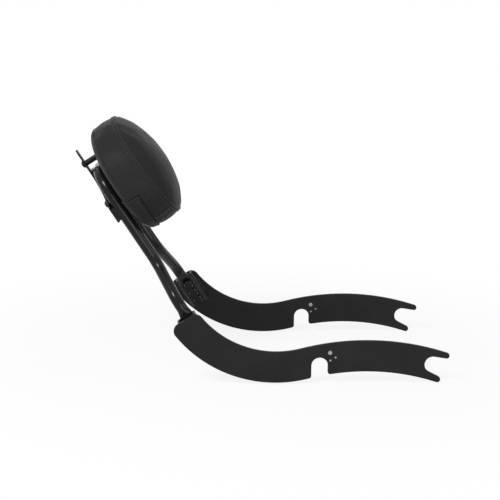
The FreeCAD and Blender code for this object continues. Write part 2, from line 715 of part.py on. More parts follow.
def tube_outline(sketch, x, thick, wide, side_round):
    """A section through the tube: round, or pressed flat with straight sides."""
    r = thick / 2
    h = wide / 2
    k = r * math.sin(math.pi / 4) if side_round else r
    g = h * math.sin(math.pi / 4) if side_round else h - r
    if side_round:
        sketch.addGeometry(arc_through((x + k, -g), (x + r, 0), (x + k, g)), False)
    else:
        sketch.addGeometry(line((x + r, -g), (x + r, g)), False)
    sketch.addGeometry(arc_through((x + k, g), (x, h), (x - k, g)), False)
    if side_round:
        sketch.addGeometry(arc_through((x - k, g), (x - r, 0), (x - k, -g)), False)
    else:
        sketch.addGeometry(line((x - r, g), (x - r, -g)), False)
    sketch.addGeometry(arc_through((x - k, -g), (x, -h), (x + k, -g)), False)
    join_ends(sketch)


def upright_bar():
    """A round tube bent into an arch. Each end is pressed flat against its outer side."""
    body = new_body("upright_bar", UPRIGHT)
    path = new_sketch(body, "XY_Plane", 0.0, "tube_path")
    rounded_path(path, tube_path())
    section = new_sketch(body, "XZ_Plane", -foot_round_bottom, "tube_section")
    circle_hole(section, -leg_low, 0.0, "sizes.tube_radius")
    pipe = body.newObject("PartDesign::AdditivePipe", "tube")
    pipe.Profile = section
    pipe.Spine = path
    body.Tip = pipe
    doc.recompute()
    for name, side in SIDES:
        flat = new_sketch(body, "XZ_Plane", -foot_flat_top, "flat_" + name)
        tube_outline(flat, side * foot_middle, size("foot_thickness"), size("foot_width"), False)
        round_end = new_sketch(body, "XZ_Plane", -foot_round_bottom, "round_" + name)
        tube_outline(round_end, side * leg_low, 2 * size("tube_radius"), 2 * size("tube_radius"), True)
        loft = body.newObject("PartDesign::AdditiveLoft", "pressed_" + name)
        loft.Profile = round_end
        loft.Sections = [flat]
        body.Tip = loft
        doc.recompute()
        below = "sizes.bracket_length - sizes.foot_flat_below - sizes.foot_margin"
        pad_feature(body, flat, below, name="foot_" + name)
        doc.recompute()
    holes = new_sketch(body, "YZ_Plane", 0.0, "foot_holes")
    for u in foot_screws:
        circle_hole(holes, u, 0.0, "sizes.foot_screw_radius + sizes.screw_gap")
    for direction in (False, True):
        pocket_feature(body, holes, reverse=direction, name="foot_holes_cut")
    doc.recompute()


upright_bar()

# The mount plate behind the pad, its saddles, bolts and spacers


def mount_plate_outline(sketch):
    """Wide below, with hollow flanks that run up into a narrow tab."""
    half, tab = size("mount_half_width"), size("mount_tab_half")
    r, top = size("mount_flank_radius"), size("pad_middle") + size("mount_flank_above")
    low, tip = mount_bottom, size("pad_middle") + size("mount_tab_above")
    angle = math.radians(size("mount_flank_turn"))
    flank_end = (tab + r - r * math.cos(angle), top - r * math.sin(angle))
    flank_mid = (tab + r - r * math.cos(angle / 2), top - r * math.sin(angle / 2))
    drop = (half - flank_end[0]) / math.tan(angle)
    corner = (half, flank_end[1] - drop)
    sketch.addGeometry(line((half, low), corner), False)
    sketch.addGeometry(line(corner, flank_end), False)
    sketch.addGeometry(arc_through(flank_end, flank_mid, (tab, top)), False)
    sketch.addGeometry(line((tab, top), (tab, tip - tab)), False)
    sketch.addGeometry(arc_through((tab, tip - tab), (0, tip), (-tab, tip - tab)), False)
    sketch.addGeometry(line((-tab, tip - tab), (-tab, top)), False)
    sketch.addGeometry(arc_through((-tab, top), (-flank_mid[0], flank_mid[1]), (-flank_end[0], flank_end[1])), False)
    sketch.addGeometry(line((-flank_end[0], flank_end[1]), (-corner[0], corner[1])), False)
    sketch.addGeometry(line((-corner[0], corner[1]), (-half, low)), False)
    sketch.addGeometry(line((-half, low), (half, low)), False)
    join_ends(sketch)
    return corner


def rear_mount_plate():
    body = new_body("rear_mount_plate", UPRIGHT)
    blank = new_sketch(body, "XY_Plane", mount_rear, "mount_outline")
    corner = mount_plate_outline(blank)
    pad_feature(body, blank, "sizes.mount_sheet", name="mount_sheet")
    lip = new_sketch(body, "XY_Plane", mount_rear, "lip_outline")
    reach = leg_up - size("tube_radius") - size("lip_side_gap")
    low, top = mount_bottom, mount_bottom + size("mount_sheet")
    polygon(lip, [(-reach, low), (reach, low), (reach, top), (-reach, top)])
    pad_feature(body, lip, "sizes.mount_sheet + sizes.mount_lip", name="mount_lip")
    holes = new_sketch(body, "XY_Plane", mount_rear, "mount_holes")
    for x, u in PAD_BOLTS:
        circle_hole(holes, x, u, "sizes.pad_bolt_radius + sizes.screw_gap")
    pocket_feature(body, holes, reverse=True, name="mount_holes_cut")

    def at_corner(e, u):
        m = e.CenterOfMass
        return abs(abs(m.x) - size("mount_half_width")) < 0.1 and abs(m.y - u) < 0.1

    fillet_edges(body, "sizes.mount_corner_radius", lambda e: at_corner(e, corner[1]), "mount_shoulders")
    fillet_edges(body, "sizes.mount_low_corner",
                 lambda e: at_corner(e, mount_bottom) and e.Length < 1.1 * size("mount_sheet"), "mount_low_corners")


def saddle(label, along_x, x, u, length, narrow=0.0):
    """A block from the mount plate to the tube, hollowed to the tube's curve."""
    block = doc.addObject("Part::Box", "block_" + label)
    wide, long = ("Length", "Width") if not along_x else ("Width", "Length")
    block.setExpression(wide, "sizes.saddle_reach * 2 - %r" % narrow)
    block.setExpression(long, length)
    block.setExpression("Height", "sizes.mount_gap + sizes.tube_radius / 2")
    dx = block.Length.Value
    doc.recompute()
    dx, dy = block.Length.Value, block.Width.Value
    shift = (narrow / 2) * (-1 if x > 0 else 1)
    block.Placement = upright_placement(x - dx / 2 + shift, u - dy / 2, mount_front)
    tube = doc.addObject("Part::Cylinder", "tube_" + label)
    tube.setExpression("Radius", "sizes.tube_radius + sizes.saddle_gap")
    tube.setExpression("Height", "2 * (%s)" % length)
    half = tube.Height.Value
    doc.recompute()
    half = tube.Height.Value / 2
    if along_x:
        tube.Placement = upright_placement(x - half, u, 0, Vector(0, 1, 0), 90)
    else:
        tube.Placement = upright_placement(x, u + half, 0, Vector(1, 0, 0), 90)
    cut = doc.addObject("Part::Cut", "saddle_" + label)
    cut.Base = block
    cut.Tool = tube
    return cut


def mount_saddles():
    u = mount_bottom + size("saddle_length") / 2 + size("saddle_margin")
    over = leg_up + size("saddle_reach") - size("mount_half_width")
    for name, side in SIDES:
        piece = saddle("leg_" + name, False, side * leg_up, u, "sizes.saddle_length", max(over, 0.0))
        as_node(piece, "leg_saddle_" + name)
    as_node(saddle("arch", True, 0.0, arch_top, "sizes.arch_saddle_length"), "arch_saddle")


def pad_fasteners():
    """Three bolts through the mount plate, with what stands between it and the pad."""
    bolts, small = [], []
    for number, (x, u) in enumerate(PAD_BOLTS):
        place = upright_placement(x, u, mount_rear - size("washer_sheet"))
        bolts.append(button_bolt("pad_bolt_%d" % number, place))
        washer = ring("small_washer_%d" % number, "sizes.small_washer_radius",
                      "sizes.pad_bolt_radius + sizes.screw_gap", "sizes.washer_sheet")
        washer.Placement = place
        small.append(washer)
    as_node(bolts[0], "upper_bolt")
    group_node("lower_bolts", bolts[1:])
    group_node("bolt_washers", small)
    spacer = ring("upper_spacer", "sizes.spacer_radius", "sizes.pad_bolt_radius + sizes.screw_gap",
                  "sizes.pad_back + sizes.tube_radius + sizes.mount_gap")
    as_node(spacer, "upper_spacer", upright_placement(0, upper_bolt_along, mount_front))
    spacers, nuts, wide = [], [], []
    washer_back = size("pad_back") - size("washer_sheet")
    nut_back = washer_back - size("pad_nut_height")
    for number, (x, u) in enumerate(PAD_BOLTS[1:]):
        lower = ring("lower_spacer_%d" % number, "sizes.lower_spacer_radius",
                     "sizes.pad_bolt_radius + sizes.screw_gap",
                     "sizes.pad_back - sizes.washer_sheet - sizes.pad_nut_height"
                     " + sizes.tube_radius + sizes.mount_gap")
        lower.Placement = upright_placement(x, u, mount_front)
        nut = hex_nut("pad_nut_%d" % number, "sizes.pad_nut_flats",
                      "sizes.pad_bolt_radius + sizes.thread_gap", "sizes.pad_nut_height")
        nut.Placement = upright_placement(x, u, nut_back)
        washer = ring("wide_washer_%d" % number, "sizes.wide_washer_radius",
                      "sizes.pad_bolt_radius + sizes.screw_gap", "sizes.washer_sheet")
        washer.Placement = upright_placement(x, u, washer_back)
        spacers.append(lower)
        nuts.append(nut)
        wide.append(washer)
    group_node("lower_spacers", spacers)
    group_node("lower_nuts", nuts)
    group_node("lower_washers", wide)


rear_mount_plate()
mount_saddles()
pad_fasteners()

# The padded backrest

OUTLINE_POINTS = 20


def pad_outline_points(inset):
    """Points of the pad's outline: an ellipse with fuller corners, inset all round."""
    a = size("pad_half_width") - inset
    power = 2 / size("pad_squareness")
    points = []
    for i in range(OUTLINE_POINTS):
        t = 2 * math.pi * i / OUTLINE_POINTS
        c, s = math.cos(t), math.sin(t)
        b = (size("pad_half_height_top") if s >= 0 else size("pad_half_height_bottom")) - inset
        x = a * math.copysign(abs(c) ** power, c)
        y = b * math.copysign(abs(s) ** power, s)
        points.append((x, y))
    return points


def section(name, w, inset, tilt=0.0, scale=1.0, lift=0.0):
    """One closed section of the pad, square to w or leaning with the seam."""
    sketch = doc.addObject("Sketcher::SketchObject", name)
    lean_over = FreeCAD.Rotation(Vector(1, 0, 0), -tilt)
    at = Vector(0, size("pad_middle"), w) + lean_over.multVec(Vector(0, 0, lift))
    sketch.Placement = UPRIGHT.multiply(FreeCAD.Placement(at, lean_over))
    points = [Vector(x * scale, y * scale, 0) for x, y in pad_outline_points(inset)]
    curve = Part.BSplineCurve()
    curve.interpolate(points, True)
    sketch.addGeometry(curve, False)
    return sketch


def loft(name, sections, ruled=False):
    piece = doc.addObject("Part::Loft", name)
    piece.Sections = sections
    piece.Solid = True
    piece.Ruled = ruled
    return piece


def pad_sides(name, grow, back):
    """Back edge rounding and side band up to the seam, drawn in by grow all round."""
    deep = size("pad_back") + size("pad_back_round_deep") - back
    side = size("pad_back_round_side")
    start = size("pad_back") + size("pad_back_round_deep")
    sections = []
    for i, degrees in enumerate((0, 15, 30, 50, 70, 90)):
        a = math.radians(degrees)
        power = size("pad_back_round_power")
        w = start - deep * max(math.cos(a), 0.0) ** power
        sections.append(section("%s_back_%d" % (name, i), w, grow + side * (1 - math.sin(a) ** power)))
    steps = 3
    for i in range(1, steps + 1):
        f = i / steps
        w = start + f * (size("pad_seam") - start)
        swell = size("pad_band_bulge") * 4 * f * (1 - f)
        sections.append(section("%s_band_%d" % (name, i), w, grow - swell, size("pad_seam_tilt") * f))
    return loft(name, sections)


def pad_crown(name, grow, height):
    """The front above the seam: steep at the seam, nearly flat over the middle."""
    sections = []
    for i, t in enumerate((0.0, 0.012, 0.04, 0.09, 0.17, 0.28, 0.43, 0.62, 0.84)):
        rise = height * (1 - (1 - t) ** size("pad_crown_power")) ** 0.75
        tilt = size("pad_seam_tilt")
        sections.append(section("%s_%d" % (name, i), size("pad_seam"), grow, tilt, 1 - t, rise))
    return loft(name, sections)


def flat_plate(name, inset, w, height):
    """A plate with the pad's outline, extruded forward from w."""
    outline = section(name + "_outline", w, inset)
    plate = doc.addObject("Part::Extrusion", name)
    plate.Base = outline
    plate.DirMode = "Normal"
    plate.Solid = True
    plate.setExpression("LengthFwd", height)
    return plate


def drilled(name, plate, radius):
    """The plate with a hole at each of the pad bolts."""
    tools = []
    for number, (x, u) in enumerate(PAD_BOLTS):
        tool = doc.addObject("Part::Cylinder", "%s_hole_%d" % (name, number))
        tool.setExpression("Radius", radius)
        tool.Height = 4 * pad_bolt_length
        tool.Placement = upright_placement(x, u, -2 * pad_bolt_length)
        tools.append(tool)
    group = doc.addObject("Part::MultiFuse", name + "_drill")
    group.Shapes = tools
    cut = doc.addObject("Part::Cut", name)
    cut.Base = plate
    cut.Tool = group
    return cut


def backrest_cover():
    """Front panel, side band and back panel of the cover."""
    sheet_in = size("cover_sheet")
    front = doc.addObject("Part::Cut", "front_panel")
    front.Base = pad_crown("crown", 0.0, size("pad_crown"))
    front.Tool = pad_crown("crown_inside", sheet_in, size("pad_crown") - sheet_in)
    as_node(front, "pad_front_panel")
    hollow = doc.addObject("Part::MultiFuse", "band_hollow")
    back_hole = flat_plate("back_opening", size("pad_back_round_side") + sheet_in,
                           size("pad_back") - size("cover_sheet"), "3 * sizes.cover_sheet")
    hollow.Shapes = [pad_sides("band_inside", sheet_in, size("pad_back") + sheet_in), back_hole]
    band = doc.addObject("Part::Cut", "side_band")
    band.Base = pad_sides("band", 0.0, size("pad_back"))
    band.Tool = hollow
    as_node(band, "pad_side_band")
    inset = size("pad_back_round_side") + sheet_in + size("cover_gap")
    back = flat_plate("back_sheet", inset, size("pad_back"), "sizes.cover_sheet")
    as_node(drilled("back_panel", back, "sizes.pad_bolt_radius + sizes.screw_gap"), "pad_back_panel")


def backrest_inside():
    """Backing board with threaded inserts, and the foam over it."""
    inset = size("pad_back_round_side") + size("cover_sheet") + size("cover_gap")
    plate = flat_plate("board_sheet", inset, board_back, "sizes.board_sheet")
    board = drilled("board", plate, "sizes.insert_radius + sizes.cover_gap")
    as_node(board, "pad_backing_board")
    inserts = []
    for number, (x, u) in enumerate(PAD_BOLTS):
        barrel = ring("insert_barrel_%d" % number, "sizes.insert_radius",
                      "sizes.pad_bolt_radius + sizes.thread_gap", "sizes.board_sheet")
        barrel.Placement = upright_placement(x, u, board_back)
        flange = ring("insert_flange_%d" % number, "sizes.insert_flange_radius",
                      "sizes.pad_bolt_radius + sizes.thread_gap", "sizes.insert_flange_sheet")
        flange.Placement = upright_placement(x, u, board_front)
        fused = doc.addObject("Part::Fuse", "insert_%d" % number)
        fused.Base = barrel
        fused.Tool = flange
        inserts.append(fused)
    group_node("pad_inserts", inserts)
    grow = size("cover_sheet") + size("cover_gap")
    low = pad_sides("foam_low", grow, size("pad_back") + grow)
    high = pad_crown("foam_high", grow, size("pad_crown") - grow)
    whole = doc.addObject("Part::MultiFuse", "foam_whole")
    whole.Shapes = [low, high]
    below = doc.addObject("Part::Box", "foam_below")
    below.Length = 3 * size("pad_half_width")
    below.Width = 3 * size("pad_half_width")
    below.setExpression("Height", "sizes.board_sheet + sizes.cover_gap + sizes.through_clearance")
    below.Placement = upright_placement(
        -1.5 * size("pad_half_width"), size("pad_middle") - 1.5 * size("pad_half_width"),
        board_back - size("through_clearance"))
    pockets = []
    for number, (x, u) in enumerate(PAD_BOLTS):
        pocket = doc.addObject("Part::Cylinder", "foam_pocket_%d" % number)
        pocket.setExpression("Radius", "sizes.insert_flange_radius + sizes.cover_gap")
        pocket.setExpression("Height", "sizes.insert_flange_sheet + sizes.cover_gap")
        pocket.Placement = upright_placement(x, u, board_front)
        pockets.append(pocket)
    tool = doc.addObject("Part::MultiFuse", "foam_tool")
    tool.Shapes = [below] + pockets
    foam = doc.addObject("Part::Cut", "foam")
    foam.Base = whole
    foam.Tool = tool
    as_node(foam, "pad_foam_core")


def backrest_wrap():
    """A second layer of the cover folded round the pad's lower rear edge."""
    outer = pad_sides("wrap_outer", -size("cover_gap") - size("wrap_sheet"),
                      size("pad_back") - size("cover_gap") - size("wrap_sheet"))
    inner = pad_sides("wrap_inner", -size("cover_gap"), size("pad_back") - size("cover_gap"))
    layer = doc.addObject("Part::Cut", "wrap_layer")
    layer.Base = outer
    layer.Tool = inner
    wide = 3 * size("pad_half_width")
    wrap_top = size("pad_middle") - size("wrap_top_below")
    wrap_front = size("pad_back") + size("wrap_reach")
    reach = doc.addObject("Part::Box", "wrap_reach")
    reach.Length = wide
    reach.Width = wide
    reach.Height = wide
    reach.Placement = upright_placement(-wide / 2, wrap_top - wide, wrap_front - wide)
    kept = doc.addObject("Part::Common", "wrap_kept")
    kept.Base = layer
    kept.Tool = reach
    past = size("through_clearance")
    hole = flat_plate("wrap_hole", size("pad_back_round_side"), size("pad_back") - past, "2 * sizes.through_clearance")
    wrap = doc.addObject("Part::Cut", "wrap")
    wrap.Base = kept
    wrap.Tool = hole
    as_node(wrap, "pad_lower_wrap")


backrest_cover()
backrest_inside()
backrest_wrap()

# Checks, then one file for each named piece

doc.recompute()
failed = [obj.Name for obj in doc.Objects if "Invalid" in obj.State or "Error" in obj.State]
if failed:
    raise SystemExit("pieces that did not compute: " + ", ".join(failed))
for piece in nodes:
    if piece.Shape.isNull() or not piece.Shape.isValid() or piece.Shape.Volume <= 0:
        raise SystemExit("not a sound solid: " + piece.Label)

os.makedirs("parts", exist_ok=True)
for piece in nodes:
    piece.Shape.exportStep("parts/" + piece.Label + ".step")
print(len(nodes), "pieces written")
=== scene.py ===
"""Looks of a detachable passenger backrest: coated steel, plated fasteners, upholstered pad."""
import json
import math

import bpy
import numpy as np
from mathutils import Matrix, Vector


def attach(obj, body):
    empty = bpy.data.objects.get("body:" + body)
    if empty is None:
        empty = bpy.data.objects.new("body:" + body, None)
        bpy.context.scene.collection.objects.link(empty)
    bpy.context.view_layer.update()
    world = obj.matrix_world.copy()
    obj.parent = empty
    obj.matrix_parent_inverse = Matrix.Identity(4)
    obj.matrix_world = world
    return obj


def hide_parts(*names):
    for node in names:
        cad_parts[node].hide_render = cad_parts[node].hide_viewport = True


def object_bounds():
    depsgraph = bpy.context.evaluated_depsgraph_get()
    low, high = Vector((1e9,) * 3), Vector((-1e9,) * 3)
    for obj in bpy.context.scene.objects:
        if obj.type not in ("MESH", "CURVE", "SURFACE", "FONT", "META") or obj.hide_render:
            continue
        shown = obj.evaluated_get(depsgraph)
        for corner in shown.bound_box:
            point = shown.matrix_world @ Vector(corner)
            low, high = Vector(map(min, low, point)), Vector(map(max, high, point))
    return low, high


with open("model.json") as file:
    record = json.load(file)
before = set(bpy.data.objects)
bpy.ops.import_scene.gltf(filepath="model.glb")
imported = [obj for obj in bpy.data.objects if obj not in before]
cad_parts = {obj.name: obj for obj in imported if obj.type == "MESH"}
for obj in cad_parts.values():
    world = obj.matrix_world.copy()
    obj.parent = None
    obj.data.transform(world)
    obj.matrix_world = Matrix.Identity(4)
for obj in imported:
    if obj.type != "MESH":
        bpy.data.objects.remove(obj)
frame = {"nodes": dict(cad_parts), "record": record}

bl_info = {
    "name": "Passenger Backrest Looks",
    "version": (1, 0, 0),
    "blender": (4, 5, 0),
    "location": "View3D > Sidebar > Backrest",
    "description": "Dresses the packed backrest with its pad, stitching and finishes",
    "category": "Object",
}

CAD_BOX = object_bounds()
MM = 0.001

# The upright's lean, and the upper bolt above the pad's middle
RECLINE = math.radians(33.0)
SIN_LEAN, COS_LEAN = math.sin(RECLINE), math.cos(RECLINE)
UPPER_BOLT_ABOVE = 52.5 * MM


def vertices_of(mesh):
    """All points of a mesh as an array."""
    points = np.empty(len(mesh.vertices) * 3)
    mesh.vertices.foreach_get("co", points)
    return points.reshape(-1, 3)


def pad_seat():
    """Height of the pad's middle up the tube and the plane of its back, from the upper spacer."""
    spacer = vertices_of(frame["nodes"]["upper_spacer"].data)
    up = spacer[:, 1] * SIN_LEAN + spacer[:, 2] * COS_LEAN
    forward = spacer[:, 2] * SIN_LEAN - spacer[:, 1] * COS_LEAN
    return (up.max() + up.min()) / 2 - UPPER_BOLT_ABOVE, forward.max()


PAD_MIDDLE, PAD_BACK = pad_seat()


# Settings that a user would change


class PadSettings(bpy.types.PropertyGroup):
    """Form and stitching of the padded backrest."""
    half_width: bpy.props.FloatProperty(
        name="Half width", description="Middle of the pad to its side",
        default=114.0 * MM, unit="LENGTH")
    half_height_top: bpy.props.FloatProperty(
        name="Upper half height", description="Middle of the pad to its top",
        default=90.0 * MM, unit="LENGTH")
    half_height_bottom: bpy.props.FloatProperty(
        name="Lower half height", description="Middle of the pad to its bottom",
        default=89.0 * MM, unit="LENGTH")
    squareness: bpy.props.FloatProperty(
        name="Squareness", description="Exponent of the outline, 2 is an ellipse", default=2.25)
    back_round_side: bpy.props.FloatProperty(
        name="Back rounding, across", description="Rear edge rounding across",
        default=22.0 * MM, unit="LENGTH")
    back_round_deep: bpy.props.FloatProperty(
        name="Back rounding, forward", description="Rear edge rounding forward",
        default=12.4 * MM, unit="LENGTH")
    back_round_power: bpy.props.FloatProperty(
        name="Back flatness", description="1 is an ellipse and more is flatter", default=1.3)
    seam: bpy.props.FloatProperty(
        name="Seam", description="Front seam ahead of the pad's back",
        default=54.3 * MM, unit="LENGTH")
    seam_tilt: bpy.props.FloatProperty(
        name="Seam tilt", description="Lean of the seam's plane",
        default=math.radians(3.4), unit="ROTATION")
    crown: bpy.props.FloatProperty(
        name="Crown", description="Front above the seam once it has swelled",
        default=30.5 * MM, unit="LENGTH")
    crown_power: bpy.props.FloatProperty(
        name="Crown fullness", description="Higher is flatter over the middle", default=2.75)
    band_swell: bpy.props.FloatProperty(
        name="Band swell", description="Swell of the side band", default=2.0 * MM, unit="LENGTH")
    cover_sheet: bpy.props.FloatProperty(
        name="Cover sheet", description="Cover with its backing", default=2.0 * MM, unit="LENGTH")
    pressure: bpy.props.FloatProperty(
        name="Pressure", description="Pressure of the foam in the cloth simulation", default=4.0)
    fullness: bpy.props.FloatProperty(
        name="Fullness", description="Share of cloth cut over size", default=0.03)
    move_cap: bpy.props.FloatProperty(
        name="Largest move", description="No point swells further than this",
        default=7.0 * MM, unit="LENGTH")
    stitch_pitch: bpy.props.FloatProperty(
        name="Stitch pitch", description="From one stitch to the next",
        default=4.4 * MM, unit="LENGTH")
    stitch_row: bpy.props.FloatProperty(
        name="Stitch row", description="Each stitch row from the seam",
        default=2.4 * MM, unit="LENGTH")
    cover_colour: bpy.props.FloatVectorProperty(
        name="Vinyl", description="Colour of the vinyl",
        subtype="COLOR", size=4, default=(0.0242, 0.0242, 0.0252, 1.0))
    thread_colour: bpy.props.FloatVectorProperty(
        name="Thread", description="Colour of the thread",
        subtype="COLOR", size=4, default=(0.012, 0.012, 0.012, 1.0))


class FinishSettings(bpy.types.PropertyGroup):
    """Finishes of the metal parts."""
    plate_colour: bpy.props.FloatVectorProperty(
        name="Side plates", description="Satin powder coat", subtype="COLOR", size=4,
        default=(0.0075, 0.0075, 0.008, 1.0))
    tube_colour: bpy.props.FloatVectorProperty(
        name="Tube", description="Gloss coat",
        subtype="COLOR", size=4, default=(0.005, 0.005, 0.005, 1.0))
    bracket_colour: bpy.props.FloatVectorProperty(
        name="Brackets", description="Coat of brackets and mount plate", subtype="COLOR", size=4,
        default=(0.004, 0.004, 0.0042, 1.0))
    fastener_colour: bpy.props.FloatVectorProperty(
        name="Black fasteners", description="Blackened steel", subtype="COLOR", size=4,
        default=(0.007, 0.007, 0.007, 1.0))
    zinc_colour: bpy.props.FloatVectorProperty(
        name="Zinc", description="Bright zinc plating",
        subtype="COLOR", size=4, default=(0.31, 0.31, 0.315, 1.0))


class StageSettings(bpy.types.PropertyGroup):
    """Floor, lamps and camera."""
    floor_gap: bpy.props.FloatProperty(
        name="Floor gap", description="Floor below the lowest point",
        default=0.5 * MM, unit="LENGTH")
    world_level: bpy.props.FloatProperty(
        name="Surrounding light", description="Strength of the pale surroundings", default=0.3)
    side_power: bpy.props.FloatProperty(
        name="Side lamp", description="Watts of the side lamp", default=36.0)
    fill_power: bpy.props.FloatProperty(
        name="Fill lamp", description="Watts of the fill lamp", default=11.0)
    front_power: bpy.props.FloatProperty(
        name="Front lamp", description="Watts of the front lamp", default=6.0)


# Geometry helpers


def to_part(x, u, w):
    """The pad's own x, u and w in the part's frame: y = U sin a - W cos a, z = U cos a + W sin a.

    a is the lean, U is u plus the height of the pad's middle and W is w plus the place of its back.
    """
    u, w = u + PAD_MIDDLE, w + PAD_BACK
    return np.stack([x, u * SIN_LEAN - w * COS_LEAN, u * COS_LEAN + w * SIN_LEAN], axis=-1)


def ahead_of_back(points):
    """How far points lie ahead of the pad's back."""
    return points[..., 2] * SIN_LEAN - points[..., 1] * COS_LEAN - PAD_BACK


def unit(vectors):
    """Each vector divided by its own length."""
    return vectors / np.maximum(np.linalg.norm(vectors, axis=-1, keepdims=True), 1e-12)


def bell(distance, width):
    """A bell curve: e to the minus (distance / width) squared."""
    return np.exp(-(distance / width) ** 2)


def ease(x, low, high):
    """0 below low, 1 above high and 3t^2 - 2t^3 between."""
    t = np.clip((x - low) / (high - low), 0.0, 1.0)
    return t * t * (3 - 2 * t)


def ring_normals(grid):
    """Outward normals of a grid closed round its first side: its two sides' steps, crossed."""
    around = np.roll(grid, -1, axis=0) - np.roll(grid, 1, axis=0)
    along = np.gradient(grid, axis=1)
    normals = unit(np.cross(around, along))
    outward = np.sum(normals * (grid - grid.mean(axis=(0, 1))), axis=-1)
    return normals if np.sum(outward) > 0 else -normals


def along_length(grid):
    """Length along the second side of a grid, summed from its start."""
    steps = np.linalg.norm(np.diff(grid, axis=1), axis=-1)
    return np.concatenate([np.zeros((grid.shape[0], 1)), np.cumsum(steps, axis=1)], axis=1)


def length_from_seam(grid, seam_row):
    """Length along the profile from the front seam, less than 0 on the band's side."""
    length = along_length(grid)
    return length - length[:, seam_row:seam_row + 1]


def read_grid(values, column, row):
    """A grid's values at fractional places, linear between its points and closed round its side."""
    c0, r0 = column.astype(int), np.minimum(row.astype(int), values.shape[1] - 2)
    cf, rf = (column - c0)[:, None, None], (row - r0)[..., None]
    near, far = (
        values[side, r0] * (1 - rf) + values[side, r0 + 1] * rf
        for side in (c0[:, None] % len(values), (c0[:, None] + 1) % len(values)))
    return near * (1 - cf) + far * cf


def add_piece(name, points, faces, material=None, smooth=True):
    """A mesh object at the origin from whole arrays of points and faces."""
    mesh = bpy.data.meshes.new(name)
    mesh.from_pydata(points.tolist(), [], [f for block in faces for f in block.tolist()])
    mesh.update()
    if mesh.validate():
        raise RuntimeError(name + " has faces that are not sound")
    mesh.polygons.foreach_set("use_smooth", np.full(len(mesh.polygons), smooth))
    piece = bpy.data.objects.new(name, mesh)
    bpy.context.scene.collection.objects.link(piece)
    if material is not None:
        mesh.materials.append(material)
    return piece


def ring_quads(n, m):
    """Quads between n by m points that are closed round their first side."""
    i, j = np.arange(n)[:, None], np.arange(m - 1)[None, :]
    a, b = i * m + j, ((i + 1) % n) * m + j
    return np.stack([a, b, b + 1, a + 1], axis=-1).reshape(-1, 4)


def closed_grid(grid):
    """Points and faces of a grid closed round its first side, with a point at each of its ends."""
    n, m = grid.shape[:2]
    start, end = grid[:, 0].mean(axis=0), grid[:, -1].mean(axis=0)
    points = np.concatenate([grid.reshape(-1, 3), start[None], end[None]])
    quads = ring_quads(n, m)
    k = np.arange(n)
    first = np.stack([k * m, np.full(n, n * m), ((k + 1) % n) * m], axis=-1)
    last = np.stack([((k + 1) % n) * m + m - 1, np.full(n, n * m + 1), k * m + m - 1], axis=-1)
    everything = [quads, np.concatenate([first, last])]
    a, b, c, d = (points[quads[:, q]] for q in range(4))
    volume = np.sum(a * np.cross(b, c)) + np.sum(a * np.cross(c, d))
    if volume < 0:
        everything = [f[:, ::-1] for f in everything]
    return points, everything


# The pad's form

AROUND = 420
BACK_ROWS, REAR_ROWS, BAND_ROWS, CROWN_ROWS = 14, 17, 62, 66
# The grid stops a little short of the middle, at the back and at the front
BACK_START, CROWN_END = 0.03, 0.985
CROWN_RISE = 0.75


def outline(settings, theta, inset):
    """The pad's outline: an ellipse whose cosine and sine are raised to 2/n, drawn in by inset."""
    power = 2.0 / settings.squareness
    c, s = np.cos(theta), np.sin(theta)
    half = np.where(s >= 0, settings.half_height_top, settings.half_height_bottom) - inset
    x = (settings.half_width - inset) * np.sign(c) * np.abs(c) ** power
    y = half * np.sign(s) * np.abs(s) ** power
    return x, y


def pad_surface(settings, theta, station, slack=0.0):
    """The pad at an angle round its outline and a station along its profile.

    Station 0 to 1 is the flat back from its middle outwards, 1 to 2 a quarter of a flattened
    ellipse round the rear edge, with its sine and cosine raised to a power, 2 to 3 the side band
    with a parabola's swell, and 3 to 4 the crown, whose height is H (1 - (1 - t)^p)^0.75. Slack
    comes off the crown, and half of it off the swell.
    """
    theta, station = np.broadcast_arrays(theta, station)
    s0 = np.clip(station, 0, 1)
    s1 = np.clip(station - 1, 0, 1) * (math.pi / 2)
    s2 = np.clip(station - 2, 0, 1)
    s3 = np.clip(station - 3, 0, 1)
    power = settings.back_round_power
    swell = (settings.band_swell - 0.5 * slack) * 4 * s2 * (1 - s2)
    inset = settings.back_round_side * (1 - np.sin(s1) ** power) - swell
    edge = settings.back_round_deep
    w = edge - edge * np.maximum(np.cos(s1), 0.0) ** power + s2 * (settings.seam - edge)
    tilt = settings.seam_tilt * s2
    height = (settings.crown - slack) * (1 - (1 - s3) ** settings.crown_power) ** CROWN_RISE
    x, y = outline(settings, theta, inset)
    scale = s0 * (1 - s3)
    x, y = x * scale, y * scale
    u = y * np.cos(tilt) + height * np.sin(tilt)
    return to_part(x, u, w - y * np.sin(tilt) + height * np.cos(tilt))


def pad_stations():
    """Stations along the profile, closest at the rear edge and the front seam, and the seam's row.

    All runs but the rear edge's are spaced by a power of even steps.
    """
    back = 1 - np.linspace(1.0, 0.0, BACK_ROWS)[:-1] ** 1.5
    back[0] = BACK_START
    rear = np.linspace(1, 2, REAR_ROWS)[:-1]
    band = 3 - np.linspace(1.0, 0.0, BAND_ROWS)[:-1] ** 1.7
    crown = 3 + np.linspace(0.0, 1.0, CROWN_ROWS) ** 2.4 * CROWN_END
    return np.concatenate([back, rear, band, crown]), len(back) + len(rear) + len(band)


SLACK, VOXEL = 5.0 * MM, 5.0 * MM
HELD_AT_SEAM, HELD_AT_BACK = 4.5 * MM, 5.0 * MM
CLOTH_FRAMES = 20
MOVE_REACH, FOAM_BLEND = 4.5 * MM, 0.8 * MM
# The cloth's copy takes every third side and every second row
SIDE_STEP, ROW_STEP = 3, 2
POINTS_AT_ONCE = 2000


